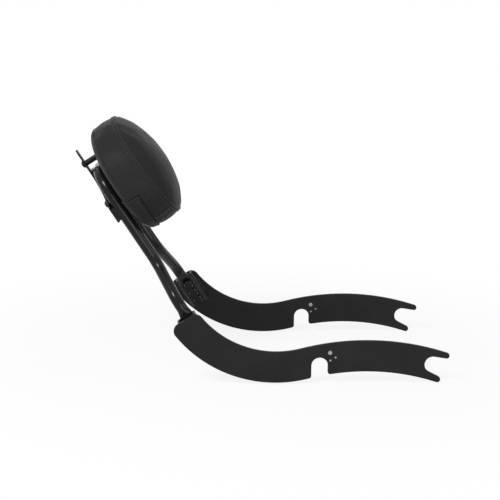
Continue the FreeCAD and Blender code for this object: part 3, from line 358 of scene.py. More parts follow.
def swelled(settings, theta, stations):
    """The grid after the slack cover has been blown up against its seams.

    A copy is remeshed, held at its seam and back, and pressed outwards from inside as cloth. A grid
    point moves by the mean of the cloth's moves, each weighed by a bell curve of its distance. The
    foam carries the cover, so no point sinks deeper than that: the larger of the two depths, as
    half of a + b plus the root of (a - b)^2 and a small blend squared.
    """
    sides = np.arange(0, len(theta), SIDE_STEP)
    coarse = pad_surface(settings, theta[sides][:, None], stations[::ROW_STEP][None, :], SLACK)
    points, faces = closed_grid(coarse)
    start = add_piece("pad_before", points, faces)
    remesh = start.modifiers.new("Even faces", "REMESH")
    remesh.mode = "VOXEL"
    remesh.voxel_size = VOXEL
    graph = bpy.context.evaluated_depsgraph_get()
    even = bpy.data.meshes.new_from_object(start.evaluated_get(graph))
    cloth_piece = bpy.data.objects.new("pad_cloth", even)
    bpy.context.scene.collection.objects.link(cloth_piece)
    rest = vertices_of(even)

    seam = pad_surface(settings, np.linspace(0, 2 * math.pi, 720)[:, None], np.array([[3.0]]))[:, 0]
    gap = np.sqrt(((rest[:, None, :] - seam[None, ::4, :]) ** 2).sum(axis=-1).min(axis=1))
    held = np.nonzero((gap < HELD_AT_SEAM) | (ahead_of_back(rest) < HELD_AT_BACK))[0]
    group = cloth_piece.vertex_groups.new(name="held")
    group.add(held.tolist(), 1.0, "REPLACE")

    cloth = cloth_piece.modifiers.new("Cloth", "CLOTH")
    cloth.settings.quality = 6
    cloth.settings.mass = 0.01
    cloth.settings.tension_stiffness = 5.0
    cloth.settings.compression_stiffness = 5.0
    cloth.settings.shear_stiffness = 5.0
    cloth.settings.bending_stiffness = 0.1
    cloth.settings.shrink_min = -settings.fullness
    cloth.settings.use_pressure = True
    cloth.settings.uniform_pressure_force = settings.pressure
    cloth.settings.vertex_group_mass = "held"
    cloth.settings.effector_weights.gravity = 0.0
    cloth.point_cache.frame_start = 1
    cloth.point_cache.frame_end = CLOTH_FRAMES
    for number in range(1, CLOTH_FRAMES + 1):
        bpy.context.scene.frame_set(number)
    graph = bpy.context.evaluated_depsgraph_get()
    blown = bpy.data.meshes.new_from_object(cloth_piece.evaluated_get(graph))
    bpy.context.scene.frame_set(1)
    move = vertices_of(blown) - rest
    length = np.linalg.norm(move, axis=-1, keepdims=True)
    move = move * np.minimum(1.0, settings.move_cap / np.maximum(length, 1e-9))
    print("cloth: largest move %.1f mm, mean %.1f mm" % (length.max() / MM, length.mean() / MM))
    for old in (start, cloth_piece):
        bpy.data.objects.remove(old)

    rows = np.unique(np.append(np.arange(0, len(stations), ROW_STEP), len(stations) - 1))
    places = pad_surface(settings, theta[sides][:, None], stations[rows][None, :], SLACK)
    places = places.reshape(-1, 3)
    moved = np.empty_like(places)
    for first in range(0, len(places), POINTS_AT_ONCE):
        block = places[first:first + POINTS_AT_ONCE]
        square = (block ** 2).sum(1)[:, None] + (rest ** 2).sum(1)[None] - 2 * block @ rest.T
        weight = np.exp(-np.maximum(square, 0) / (2 * MOVE_REACH ** 2))
        moved[first:first + POINTS_AT_ONCE] = weight @ move / weight.sum(1, keepdims=True)
    moved = moved.reshape(len(sides), len(rows), 3)
    place = np.interp(np.arange(len(stations)), rows, np.arange(len(rows)))
    moved = read_grid(moved, np.arange(len(theta)) / SIDE_STEP, np.tile(place, (len(theta), 1)))

    full = pad_surface(settings, theta[:, None], stations[None, :])
    normals = ring_normals(full)
    cover = pad_surface(settings, theta[:, None], stations[None, :], SLACK) + moved
    depth = np.sum((cover - full) * normals, axis=-1)
    foam = -settings.cover_sheet * 0.5
    lifted = 0.5 * (depth + foam + np.sqrt((depth - foam) ** 2 + FOAM_BLEND ** 2))
    return cover + normals * (lifted - depth)[..., None]


BOTTOM = math.radians(270.0)
CORNER_SEAMS = (math.radians(224.0), math.radians(316.0))
WRAP_START, WRAP_END = math.radians(191.5), math.radians(348.5)
WRAP_END_FADE = 0.02
SEAM_TURN = 3.0 * MM
BACK_FOLD = 0.965
UNEVENNESS = 0.16 * MM


def hem_station(theta):
    """Station of the lower wrap's hem: higher towards its two ends, with a slight wave."""
    swing = np.clip(np.abs(theta - BOTTOM) / (WRAP_END - BOTTOM), 0, 1)
    return 2.16 + 0.19 * swing ** 1.2 + 0.012 * np.sin(theta * 23)


def wrap_crease(settings, theta, stations):
    """The cover pulled in beside the wrap: bell-shaped furrows along its hem and its two ends.

    Depths and distances are in mm until the end.
    """
    band = (settings.seam - settings.back_round_deep) / MM
    hem = (stations[None, :] - hem_station(theta)[:, None]) * band
    inside = ease(theta, WRAP_START - WRAP_END_FADE, WRAP_START) * (
        1 - ease(theta, WRAP_END, WRAP_END + WRAP_END_FADE))
    furrow = -1.5 * bell(hem - 0.7, 1.4) * inside[:, None]
    below_hem = ease(stations, 1.4, 1.8)[None, :] * (hem < 0)
    for end, way in ((WRAP_START, -1), (WRAP_END, 1)):
        away = way * (theta - end) * settings.half_width / MM
        furrow -= (1.1 * bell(away - 0.7, 1.3))[:, None] * below_hem
    return furrow * MM


def seam_relief(settings, from_seam, around):
    """Height of the double-stitched front seam over the panels.

    A flat ridge of the folded allowances, less the seam itself and a furrow under each stitch row,
    with a ripple of one wave for each stitch. Each is a height in mm times a bell.
    """
    d, row = np.abs(from_seam) / MM, settings.stitch_row / MM
    ridge = 0.7 * np.exp(-(d / 3.9) ** 4)
    valley = -1.0 * bell(d, 0.7)
    furrow = -0.45 * bell(d - row, 0.5)
    beside = -0.4 * bell(d - 5.6, 1.5)
    ripple = 0.12 * np.cos(2 * math.pi * around / settings.stitch_pitch) * bell(d - row, 1.6)
    return (ridge + valley + furrow + beside + ripple) * MM


def seam_normals(grid, from_seam):
    """Outward normals, turned close to the front seam towards the mean of its two sides."""
    normals = ring_normals(grid)
    sides = np.array([[-SEAM_TURN, SEAM_TURN]])
    rows = np.argmin(np.abs(from_seam.mean(axis=0)[:, None] - sides), axis=0)
    middle = unit(normals[:, rows[0]] + normals[:, rows[1]])[:, None]
    share = ease(np.abs(from_seam), 0.0, SEAM_TURN)[..., None]
    return unit(middle * (1 - share) + normals * share)


def corner_seam(theta, corner, radius, stations):
    """Relief of a seam across the side band, in mm, where the bottom strip meets the side strip.

    A bell-shaped furrow with a swell on either side. The bottom strip is pulled into shallow
    gathers beside it: a sine that fades away from the seam.
    """
    on_band = ease(stations, 1.2, 1.6) * (1 - ease(stations, 2.97, 3.0))
    across = (theta - corner)[:, None] * radius / MM
    line = -1.15 * bell(across, 1.1) + 0.55 * bell(np.abs(across) - 2.8, 1.7)
    away = across if corner < BOTTOM else -across
    pulls = 0.8 * np.sin(away / 3.4) * np.exp(-np.clip(away - 3, 0, None) / 13) * (away > 3)
    gathered = ease(stations, 2.15, 2.5) * (1 - ease(stations, 2.9, 3.0))
    return line * on_band[None, :] + pulls * gathered[None, :]


def pad_cover_grid(settings):
    """The pad's grid, swelled and with its seams, gathers and slow unevenness."""
    theta = np.arange(AROUND) * (2 * math.pi / AROUND)
    stations, seam_row = pad_stations()
    grid = swelled(settings, theta, stations)
    from_seam = length_from_seam(grid, seam_row)
    step = np.linalg.norm(np.roll(grid[:, seam_row], -1, axis=0) - grid[:, seam_row], axis=-1)
    around = np.concatenate([[0.0], np.cumsum(step)[:-1]])
    relief = seam_relief(settings, from_seam, around[:, None])
    radius = np.linalg.norm(grid - grid.mean(axis=0), axis=-1)
    for corner in CORNER_SEAMS:
        relief += corner_seam(theta, corner, radius, stations) * MM
    relief += wrap_crease(settings, theta, stations)

    # the cover is folded over the back and meets the flat back panel in a shallow step
    crease = -0.9 * bell(stations - BACK_FOLD, 0.012)
    lip = 0.5 * ease(stations, BACK_FOLD, 0.99) * (1 - ease(stations, 1.1, 1.6))
    relief += (crease + lip)[None, :] * MM

    # slow unevenness of hand-stretched vinyl over foam, as sines of the place in mm
    x, y, z = (grid / MM)[..., 0], (grid / MM)[..., 1], (grid / MM)[..., 2]
    slow = np.sin(x / 17 + 0.7 * np.sin(z / 23)) * np.sin(y / 21 + 1.3)
    slow += 0.6 * np.sin(z / 13 + x / 29)
    relief += slow * (UNEVENNESS * ease(stations, 1.3, 1.8))[None, :]
    return grid + seam_normals(grid, from_seam) * relief[..., None]


def cover_grid():
    """The finished cover's grid, read back from its mesh."""
    cover = bpy.data.objects.get("pad_cover")
    if cover is None:
        raise RuntimeError("the cover has to be made first")
    return vertices_of(cover.data)[:-2].reshape(AROUND, -1, 3)


THREAD_RADIUS = 0.42 * MM
STITCH_HALF = 0.40
STITCH_LIFT, STITCH_DIP = 0.12 * MM, 0.25 * MM


def sewn_line(line, normals, pitch, closed):
    """Stitches along a line: a capsule at each pitch, lying on the cover.

    A capsule's surface is its middle, plus tangent times half its length times sin b, plus the two
    cross directions times its radius times the root of cos b. Its ends dip into the cover.
    """
    if closed:
        line, normals = (np.concatenate([values, values[:1]]) for values in (line, normals))
    step = np.linalg.norm(np.diff(line, axis=0), axis=-1)
    sums = np.concatenate([[0.0], np.cumsum(step)])
    count = int(round(sums[-1] / pitch))
    place = (np.arange(count) + 0.5) / count * sums[-1]

    def read(values, where):
        return np.stack([np.interp(where, sums, values[:, k]) for k in range(3)], axis=-1)

    middle, up = read(line, place), unit(read(normals, place))
    tangent = unit(read(line, place + 0.3 * MM) - read(line, place - 0.3 * MM))
    cross = unit(np.cross(up, tangent))
    b = np.linspace(-math.pi / 2, math.pi / 2, 8)[1:-1]
    a = np.linspace(0, 2 * math.pi, 9)[:-1]
    n, m = len(a), len(b)
    thick = THREAD_RADIUS * np.cos(b) ** 0.5
    onwards = np.tile(STITCH_HALF * pitch * np.sin(b), (n, 1))
    sideways = np.cos(a)[:, None] * thick
    upwards = np.sin(a)[:, None] * thick + STITCH_LIFT - STITCH_DIP * np.sin(b) ** 2
    points = middle[:, None, None] + sum(
        way[:, None, None] * far[None, :, :, None]
        for way, far in ((tangent, onwards), (cross, sideways), (up, upwards)))
    quads = ring_quads(n, m)
    start = np.arange(n) * m
    caps = np.stack([start[::-1], start + m - 1])
    offsets = (np.arange(count) * n * m)[:, None, None]
    first = points[0].reshape(-1, 3) - middle[0]
    p, q, r = (first[quads[:, k]] for k in range(3))
    quads, caps = (quads[None] + offsets).reshape(-1, 4), (caps[None] + offsets).reshape(-1, n)
    if np.sum(p * np.cross(q, r)) < 0:
        quads, caps = quads[:, ::-1], caps[:, ::-1]
    return points.reshape(-1, 3), [quads, caps]


def seam_stitches(grid, settings, side):
    """One row of stitches beside the front seam, on the band's side (-1) or the front's (1)."""
    from_seam = length_from_seam(grid, pad_stations()[1])
    row = np.argmin(np.abs(from_seam.mean(axis=0) - side * settings.stitch_row))
    return sewn_line(grid[:, row], ring_normals(grid)[:, row], settings.stitch_pitch, True)


WRAP_AROUND, WRAP_ALONG = 260, 46
WRAP_FIRST = 1.03
WRAP_SHEET, WRAP_BELOW, WRAP_BACK = 1.7, 0.7, 0.15
HEM_STITCHES = 5.0
HEM_ENDS = 7


def sheet_faces(n, m):
    """Faces of a closed sheet: n by m upper points, as many lower ones and a strip at each side."""
    i, j = np.arange(n - 1), np.arange(m - 1)
    a = i[:, None] * m + j[None, :]
    upper = np.stack([a, a + m, a + m + 1, a + 1], axis=-1).reshape(-1, 4)
    strips = []
    for edge, step, turned in (
            (i * m, m, True), (i * m + m - 1, m, False), (j, 1, False), ((n - 1) * m + j, 1, True)):
        strip = np.stack([edge, edge + step, edge + step + n * m, edge + n * m], axis=-1)
        strips.append(strip[:, ::-1] if turned else strip)
    return np.concatenate([upper, upper[:, ::-1] + n * m] + strips)


def make_wrap_shell(grid):
    """The second layer round the lower rear edge, a closed sheet on the cover, and its hem's line.

    Its angle runs evenly between its two upper edges and its station from the back to the hem. Each
    point lies on the cover, raised along the normal by the sheet, which is rounded off at its rim
    like a quarter of an ellipse and has a roll beside it. All heights are in mm.
    """
    stations = pad_stations()[0]
    turn = np.linspace(WRAP_START, WRAP_END, WRAP_AROUND)
    part = 0.5 - 0.5 * np.cos(math.pi * np.linspace(0, 1, WRAP_ALONG))
    station = WRAP_FIRST + (hem_station(turn)[:, None] - WRAP_FIRST) * part[None, :]
    column = turn / (2 * math.pi) * AROUND
    row = np.interp(station.ravel(), stations, np.arange(len(stations))).reshape(station.shape)
    base, up = read_grid(grid, column, row), unit(read_grid(ring_normals(grid), column, row))

    from_hem, from_start, from_end = (
        np.linalg.norm(base - edge, axis=-1) / MM for edge in (base[:, -1:], base[:1], base[-1:]))
    rim = np.minimum(from_hem, np.minimum(from_start, from_end))
    lift = WRAP_SHEET * np.sqrt(np.clip(1 - (1 - np.clip(rim / 1.3, 0, 1)) ** 2, 0, 1))
    roll = 0.7 * bell(rim - 2.4, 1.4) - 0.5 * bell(rim - HEM_STITCHES, 0.8)
    height = (lift + roll) * ease(station, WRAP_FIRST, WRAP_FIRST + 0.25) + WRAP_BACK
    top = base + up * (height * MM)[..., None]
    low = base - up * (WRAP_BELOW * MM)
    points = np.concatenate([top.reshape(-1, 3), low.reshape(-1, 3)])

    sewn = np.arange(HEM_ENDS, WRAP_AROUND - HEM_ENDS)
    line = np.argmin(np.abs(from_hem - HEM_STITCHES), axis=1)[sewn]
    hem = (top[sewn, line], up[sewn, line])
    faces = sheet_faces(WRAP_AROUND, WRAP_ALONG)
    upper = faces[:(WRAP_AROUND - 1) * (WRAP_ALONG - 1)]
    a, b, c = points[upper[:, 0]], points[upper[:, 1]], points[upper[:, 2]]
    if np.sum(np.cross(b - a, c - a) * up[:-1, :-1].reshape(-1, 3)) < 0:
        faces = faces[:, ::-1]
    return points, [faces], hem


# Shader groups. Lengths in them are in metres, and a scale is in cells for each metre

SOCKET_KINDS = {type(None): "NodeSocketVector", tuple: "NodeSocketColor", float: "NodeSocketFloat"}
SURFACE = {"Colour": "NodeSocketColor", "Roughness": "NodeSocketFloat", "Height": "NodeSocketFloat"}
DUST, SCUFF = (0.035, 0.034, 0.032, 1.0), (0.045, 0.044, 0.042, 1.0)


def new_group(name, inputs, outputs):
    """An empty node group: its inputs with their defaults, and its outputs with their kinds."""
    group = bpy.data.node_groups.new(name, "ShaderNodeTree")
    for label, default in inputs.items():
        kind = SOCKET_KINDS[type(default)]
        socket = group.interface.new_socket(name=label, in_out="INPUT", socket_type=kind)
        if default is not None:
            socket.default_value = default
    for label, kind in outputs.items():
        group.interface.new_socket(name=label, in_out="OUTPUT", socket_type=kind)
    start = group.nodes.new("NodeGroupInput")
    end = group.nodes.new("NodeGroupOutput")
    return group, start, end


def feed(group, socket, value):
    """A number or colour typed into a socket, or another node's output linked to it."""
    if isinstance(value, (int, float, tuple)):
        socket.default_value = value
    else:
        group.links.new(value, socket)


def math_node(group, operation, a, b, clamp=False):
    """One operation on two numbers, kept within 0 and 1 if it is clamped."""
    node = group.nodes.new("ShaderNodeMath")
    node.operation = operation
    node.use_clamp = clamp
    feed(group, node.inputs[0], a)
    feed(group, node.inputs[1], b)
    return node.outputs[0]


def noise_node(group, vector, scale, detail=3.0, rough=0.55):
    """Noise of about 0 to 1."""
    node = group.nodes.new("ShaderNodeTexNoise")
    node.inputs["Detail"].default_value = detail
    node.inputs["Roughness"].default_value = rough
    group.links.new(vector, node.inputs["Vector"])
    feed(group, node.inputs["Scale"], scale)
    return node.outputs["Fac"]


def mix_colour(group, factor, a, b):
    """Colour a where the factor is 0 and b where it is 1."""
    node = group.nodes.new("ShaderNodeMix")
    node.data_type = "RGBA"
    node.blend_type = "MIX"
    group.links.new(factor, node.inputs["Factor"])
    feed(group, node.inputs["A"], a)
    feed(group, node.inputs["B"], b)
    return node.outputs["Result"]


def map_range(group, value, low, high, new_low, new_high, steps="LINEAR"):
    """A value between low and high, spread over new_low to new_high."""
    node = group.nodes.new("ShaderNodeMapRange")
    node.interpolation_type = steps
    group.links.new(value, node.inputs["Value"])
    bounds = (("From Min", low), ("From Max", high), ("To Min", new_low), ("To Max", new_high))
    for label, bound in bounds:
        node.inputs[label].default_value = bound
    return node.outputs["Result"]


def marks_mask(group, marks, vector, amount, size):
    """The mask of the marks group, used inside another group."""
    use = group.nodes.new("ShaderNodeGroup")
    use.node_tree = marks
    group.links.new(vector, use.inputs["Vector"])
    feed(group, use.inputs["Amount"], amount)
    use.inputs["Size"].default_value = size
    return use.outputs["Mask"]


def handling_group():
    """Faint dust and finger marks: slow noise times finer noise, kept where it is strong."""
    group, start, end = new_group(
        "handling_marks", {"Vector": None, "Amount": 0.3, "Size": 30.0},
        {"Mask": "NodeSocketFloat"})
    vector, size = start.outputs["Vector"], start.outputs["Size"]
    slow = noise_node(group, vector, size, 2.0)
    fine = noise_node(group, vector, math_node(group, "MULTIPLY", size, 9.0), 5.0, 0.7)
    spread = map_range(group, math_node(group, "MULTIPLY", slow, fine), 0.2, 0.42, 0.0, 1.0)
    mask = math_node(group, "MULTIPLY", spread, start.outputs["Amount"], clamp=True)
    group.links.new(mask, end.inputs["Mask"])
    return group


def coat_group(marks):
    """Powder coat: a fine even stipple, slow change of shade, and duller marks."""
    group, start, end = new_group(
        "powder_coat", {"Vector": None, "Colour": (0.02, 0.02, 0.02, 1.0), "Stipple": 900.0,
                        "Base Roughness": 0.4, "Marks": 0.3}, SURFACE)
    vector = start.outputs["Vector"]
    stipple = noise_node(group, vector, start.outputs["Stipple"], 2.0, 0.5)
    slow = noise_node(group, vector, 14.0)
    mask = marks_mask(group, marks, vector, start.outputs["Marks"], 26.0)
    shade = map_range(group, slow, 0.3, 0.7, 0.0, 0.22)
    colour = mix_colour(group, shade, start.outputs["Colour"], (0.016, 0.016, 0.0165, 1.0))
    colour = mix_colour(group, math_node(group, "MULTIPLY", mask, 0.35), colour, DUST)
    group.links.new(colour, end.inputs["Colour"])
    grain = math_node(group, "MULTIPLY", math_node(group, "SUBTRACT", stipple, 0.5), 0.10)
    rough = math_node(group, "ADD", start.outputs["Base Roughness"], grain)
    duller = math_node(group, "MULTIPLY", mask, 0.16)
    rough = math_node(group, "ADD", rough, duller, clamp=True)
    group.links.new(rough, end.inputs["Roughness"])
    group.links.new(stipple, end.inputs["Height"])
    return group


def vinyl_group(marks):
    """Grained vinyl: rounded cells in two sizes with creases between, painted shade darkening the
    creases, and slow change of shade.
    """
    group, start, end = new_group(
        "vinyl_grain", {"Vector": None, "Colour": (0.03, 0.03, 0.03, 1.0), "Cells": 620.0,
                        "Base Roughness": 0.5}, SURFACE)
    vector = start.outputs["Vector"]
    bend = noise_node(group, vector, 180.0, 2.0)
    shift = group.nodes.new("ShaderNodeVectorMath")
    shift.operation = "MULTIPLY_ADD"
    group.links.new(bend, shift.inputs[0])
    shift.inputs[1].default_value = (0.0016, 0.0016, 0.0016)
    group.links.new(vector, shift.inputs[2])
    heights = []
    for factor, weight in ((1.0, 0.7), (2.3, 0.3)):
        cells = group.nodes.new("ShaderNodeTexVoronoi")
        cells.feature = "F1"
        cells.distance = "EUCLIDEAN"
        group.links.new(shift.outputs["Vector"], cells.inputs["Vector"])
        scale = math_node(group, "MULTIPLY", start.outputs["Cells"], factor)
        group.links.new(scale, cells.inputs["Scale"])
        rounded = map_range(group, cells.outputs["Distance"], 0.1, 0.75, 1.0, 0.0)
        heights.append(math_node(group, "MULTIPLY", rounded, weight))
    height = math_node(group, "ADD", heights[0], heights[1])
    group.links.new(height, end.inputs["Height"])
    slow = noise_node(group, vector, 22.0)
    # painted shade: the colour is darkened in the grain's creases, following the relief's height
    crease = map_range(group, height, 0.1, 0.6, 0.35, 0.0)
    colour = mix_colour(group, crease, start.outputs["Colour"], (0.007, 0.007, 0.0075, 1.0))
    shade = map_range(group, slow, 0.35, 0.7, 0.0, 0.25)
    colour = mix_colour(group, shade, colour, (0.020, 0.0195, 0.020, 1.0))
    mask = marks_mask(group, marks, vector, 0.4, 18.0)
    colour = mix_colour(group, math_node(group, "MULTIPLY", mask, 0.2), colour, SCUFF)
    group.links.new(colour, end.inputs["Colour"])
    patches = map_range(group, slow, 0.3, 0.7, -0.05, 0.06)
    rough = math_node(group, "ADD", start.outputs["Base Roughness"], patches)
    creases = map_range(group, height, 0.0, 0.8, 0.10, -0.03)
    rough = math_node(group, "ADD", rough, creases, clamp=True)
    group.links.new(rough, end.inputs["Roughness"])
    return group


def plating_group():
    """Plated or blackened steel, and other plain surfaces: cloudy patches and a fine grain."""
    group, start, end = new_group(
        "plated_steel", {"Vector": None, "Colour": (0.6, 0.6, 0.6, 1.0),
                         "Dull Colour": (0.3, 0.3, 0.3, 1.0), "Base Roughness": 0.3}, SURFACE)
    cloud = noise_node(group, start.outputs["Vector"], 160.0)
    fine = noise_node(group, start.outputs["Vector"], 1500.0, 2.0)
    patch = map_range(group, cloud, 0.4, 0.7, 0.0, 0.7)
    colour = mix_colour(group, patch, start.outputs["Colour"], start.outputs["Dull Colour"])
    group.links.new(colour, end.inputs["Colour"])
    duller = math_node(group, "MULTIPLY", cloud, 0.18)
    rough = math_node(group, "ADD", start.outputs["Base Roughness"], duller, clamp=True)
    group.links.new(rough, end.inputs["Roughness"])
    group.links.new(fine, end.inputs["Height"])
    return group


def finish(name, group, values, shader_values, bump, bump_distance):
    """A material: object coordinates into the group, and its outputs into a shader and a bump."""
    material = bpy.data.materials.new(name)
    material.use_nodes = True
    tree = material.node_tree
    tree.nodes.clear()
    out = tree.nodes.new("ShaderNodeOutputMaterial")
    shader = tree.nodes.new("ShaderNodeBsdfPrincipled")
    tree.links.new(shader.outputs["BSDF"], out.inputs["Surface"])
    place = tree.nodes.new("ShaderNodeTexCoord")
    use = tree.nodes.new("ShaderNodeGroup")
    use.node_tree = group
    tree.links.new(place.outputs["Object"], use.inputs["Vector"])
    for label, value in values.items():
        use.inputs[label].default_value = value
    tree.links.new(use.outputs["Colour"], shader.inputs["Base Color"])
    tree.links.new(use.outputs["Roughness"], shader.inputs["Roughness"])
    for label, value in shader_values.items():
        shader.inputs[label].default_value = value
    relief = tree.nodes.new("ShaderNodeBump")
    relief.inputs["Strength"].default_value = bump
    relief.inputs["Distance"].default_value = bump_distance
    tree.links.new(use.outputs["Height"], relief.inputs["Height"])
    tree.links.new(relief.outputs["Normal"], shader.inputs["Normal"])
    return material


def shared(name, maker, *needs):
    """The shader group of that name, made the first time that it is asked for."""
    return bpy.data.node_groups.get(name) or maker(*needs)


def vinyl_material(settings):
    """The cover's grained vinyl, made once."""
    marks = shared("handling_marks", handling_group)
    return bpy.data.materials.get("grained_vinyl") or finish(
        "grained_vinyl", shared("vinyl_grain", vinyl_group, marks),
        {"Colour": settings.cover_colour, "Cells": 620.0, "Base Roughness": 0.35},
        {"Specular IOR Level": 0.019}, bump=0.24, bump_distance=0.25 * MM)


# One operator for each group of pieces


def coat(name, colour, stipple, rough, marks, bump, specular, **shader_values):
    """A powder or gloss coat with its own stipple, gloss and marks."""
    group = shared("powder_coat", coat_group, shared("handling_marks", handling_group))
    values = {"Colour": colour, "Stipple": stipple, "Base Roughness": rough, "Marks": marks}
    shader_values["Specular IOR Level"] = specular
    return finish(name, group, values, shader_values, bump, 0.2 * MM)


def plating(name, colour, dull, rough, bump, metallic=0.0, specular=0.5):
    """A plated, blackened or plain surface with cloudy patches of a dull colour."""
    group = shared("plated_steel", plating_group)
    values = {"Colour": colour, "Dull Colour": (*dull, 1.0), "Base Roughness": rough}
    shader_values = {"Metallic": metallic, "Specular IOR Level": specular}
    return finish(name, group, values, shader_values, bump, 0.1 * MM)


def dress(**finishes):
    """Gives each frame node the finish named for its material slot."""
    dressed = 0
    for row in frame["record"]["subparts"]:
        if row["material_slot"] in finishes:
            for slot in frame["nodes"][row["node"]].material_slots:
                slot.material = finishes[row["material_slot"]]
                dressed += 1
    if not dressed:
        raise RuntimeError("no node has the slots " + ", ".join(finishes))


class BACKREST_OT_coat_plates(bpy.types.Operator):
    """Gives the side plates, brackets and mount plate their satin coat."""
    bl_idname = "backrest.coat_plates"
    bl_label = "Coat the Plates"

    def execute(self, context):
        look = context.scene.backrest_finish
        plates = coat("satin_powder_coat", look.plate_colour, stipple=950.0, rough=0.44, marks=0.35,
                      bump=0.16, specular=0.15)
        steel = coat("bracket_coat", look.bracket_colour, stipple=800.0, rough=0.34, marks=0.4,
                     bump=0.16, specular=0.14)
        dress(plate_paint=plates, bracket_paint=steel)
        return {"FINISHED"}


class BACKREST_OT_coat_tube(bpy.types.Operator):
    """Gives the bent tube its gloss coat."""
    bl_idname = "backrest.coat_tube"
    bl_label = "Coat the Tube"

    def execute(self, context):
        look = context.scene.backrest_finish
        gloss = coat("gloss_coat", look.tube_colour, stipple=260.0, rough=0.20, marks=0.25,
                     bump=0.04, specular=0.15, **{"Coat Weight": 0.05, "Coat Roughness": 0.08})
        dress(tube_paint=gloss)
        return {"FINISHED"}


class BACKREST_OT_plate_fasteners(bpy.types.Operator):
    """Gives bolts, washers, nuts, rivets and pins their blackened or zinc-plated steel."""
    bl_idname = "backrest.plate_fasteners"
    bl_label = "Plate the Fasteners"

    def execute(self, context):
        look = context.scene.backrest_finish
        black = plating("blackened_steel", look.fastener_colour, dull=(0.006, 0.006, 0.006),
                        rough=0.42, bump=0.1, specular=0.13)
        zinc = plating("zinc_plating", look.zinc_colour, dull=(0.20, 0.20, 0.204),
                       rough=0.42, bump=0.1, metallic=0.85)
        dress(black_fastener=black, zinc=zinc)
        return {"FINISHED"}


class BACKREST_OT_finish_inside(bpy.types.Operator):
    """Gives the pad's board and foam their colours, and its packed panels their vinyl."""
    bl_idname = "backrest.finish_inside"
    bl_label = "Finish the Inside"

    def execute(self, context):
        board = plating("pad_board", (0.42, 0.28, 0.15, 1.0), dull=(0.30, 0.19, 0.10),
                        rough=0.6, bump=0.2)
        foam = plating("pad_foam", (0.62, 0.56, 0.36, 1.0), dull=(0.50, 0.44, 0.26),
                       rough=0.8, bump=0.4)
        dress(board=board, foam=foam, vinyl=vinyl_material(context.scene.backrest_pad))
        return {"FINISHED"}


class BACKREST_OT_make_cover(bpy.types.Operator):
    """Makes the pad's cover, swelled by its foam between its seams."""
    bl_idname = "backrest.make_cover"
    bl_label = "Make the Cover"

    def execute(self, context):
        settings = context.scene.backrest_pad
        points, faces = closed_grid(pad_cover_grid(settings))
        cover = add_piece("pad_cover", points, faces, vinyl_material(settings))
        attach(cover, "root")
        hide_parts("pad_front_panel", "pad_side_band", "pad_back_panel")
        return {"FINISHED"}


class BACKREST_OT_make_wrap(bpy.types.Operator):
    """Makes the second layer that is folded round the lower rear edge."""
    bl_idname = "backrest.make_wrap"
    bl_label = "Make the Lower Wrap"

    def execute(self, context):
        settings = context.scene.backrest_pad
        points, faces = make_wrap_shell(cover_grid())[:2]
        wrap = add_piece("pad_wrap", points, faces, vinyl_material(settings))
        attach(wrap, "root")
        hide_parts("pad_lower_wrap")
        return {"FINISHED"}


class BACKREST_OT_make_stitches(bpy.types.Operator):
    """Sews the two rows of stitches beside the front seam and the one along the wrap's hem."""
    bl_idname = "backrest.make_stitches"
    bl_label = "Make the Stitches"

    def execute(self, context):
        settings = context.scene.backrest_pad
        thread = plating("bonded_thread", settings.thread_colour, dull=(0.02, 0.02, 0.02),
                         rough=0.45, bump=0.3)
        grid = cover_grid()
        hem = make_wrap_shell(grid)[2]
        rows = {
            "band": seam_stitches(grid, settings, -1),
            "front": seam_stitches(grid, settings, 1),
            "hem": sewn_line(hem[0], hem[1], settings.stitch_pitch, False),
        }
        for label, (points, faces) in rows.items():
            row = add_piece("stitches_" + label, points, faces, thread)
            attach(row, "root")
        return {"FINISHED"}


FLOOR_HALF = 12.0
# The floor keeps its shadow near the object and is plain white further away
FLOOR_NEAR, FLOOR_FAR = 0.25, 0.75
FLOOR_WHITE_NEAR = 0.87

# The photograph's camera, fitted to the outlines of both side plates
CAMERA_PLACE = (-2.2299, 0.2422, 0.6488)
CAMERA_RIGHT = (-0.0612, -0.9981, 0.0089)
CAMERA_DOWN = (-0.2171, 0.0047, -0.9761)
CAMERA_LENS = 100.8


def lamp(name, place, target, size, power):
    """An area lamp that faces its target."""
    data = bpy.data.lights.new(name, "AREA")
    data.shape = "RECTANGLE"
    data.size, data.size_y = size
    data.energy = power
    piece = bpy.data.objects.new(name, data)
    piece.location = place
    piece.rotation_euler = (Vector(target) - Vector(place)).to_track_quat("-Z", "Y").to_euler()
    bpy.context.scene.collection.objects.link(piece)


def shown_background(tree):
    """1 for a ray that shows the background: from the camera, a mirror or glass."""
    rays = tree.nodes.new("ShaderNodeLightPath").outputs
    seen = math_node(tree, "ADD", rays["Is Camera Ray"], rays["Is Glossy Ray"], clamp=True)
    return math_node(tree, "ADD", seen, rays["Is Transmission Ray"], clamp=True)


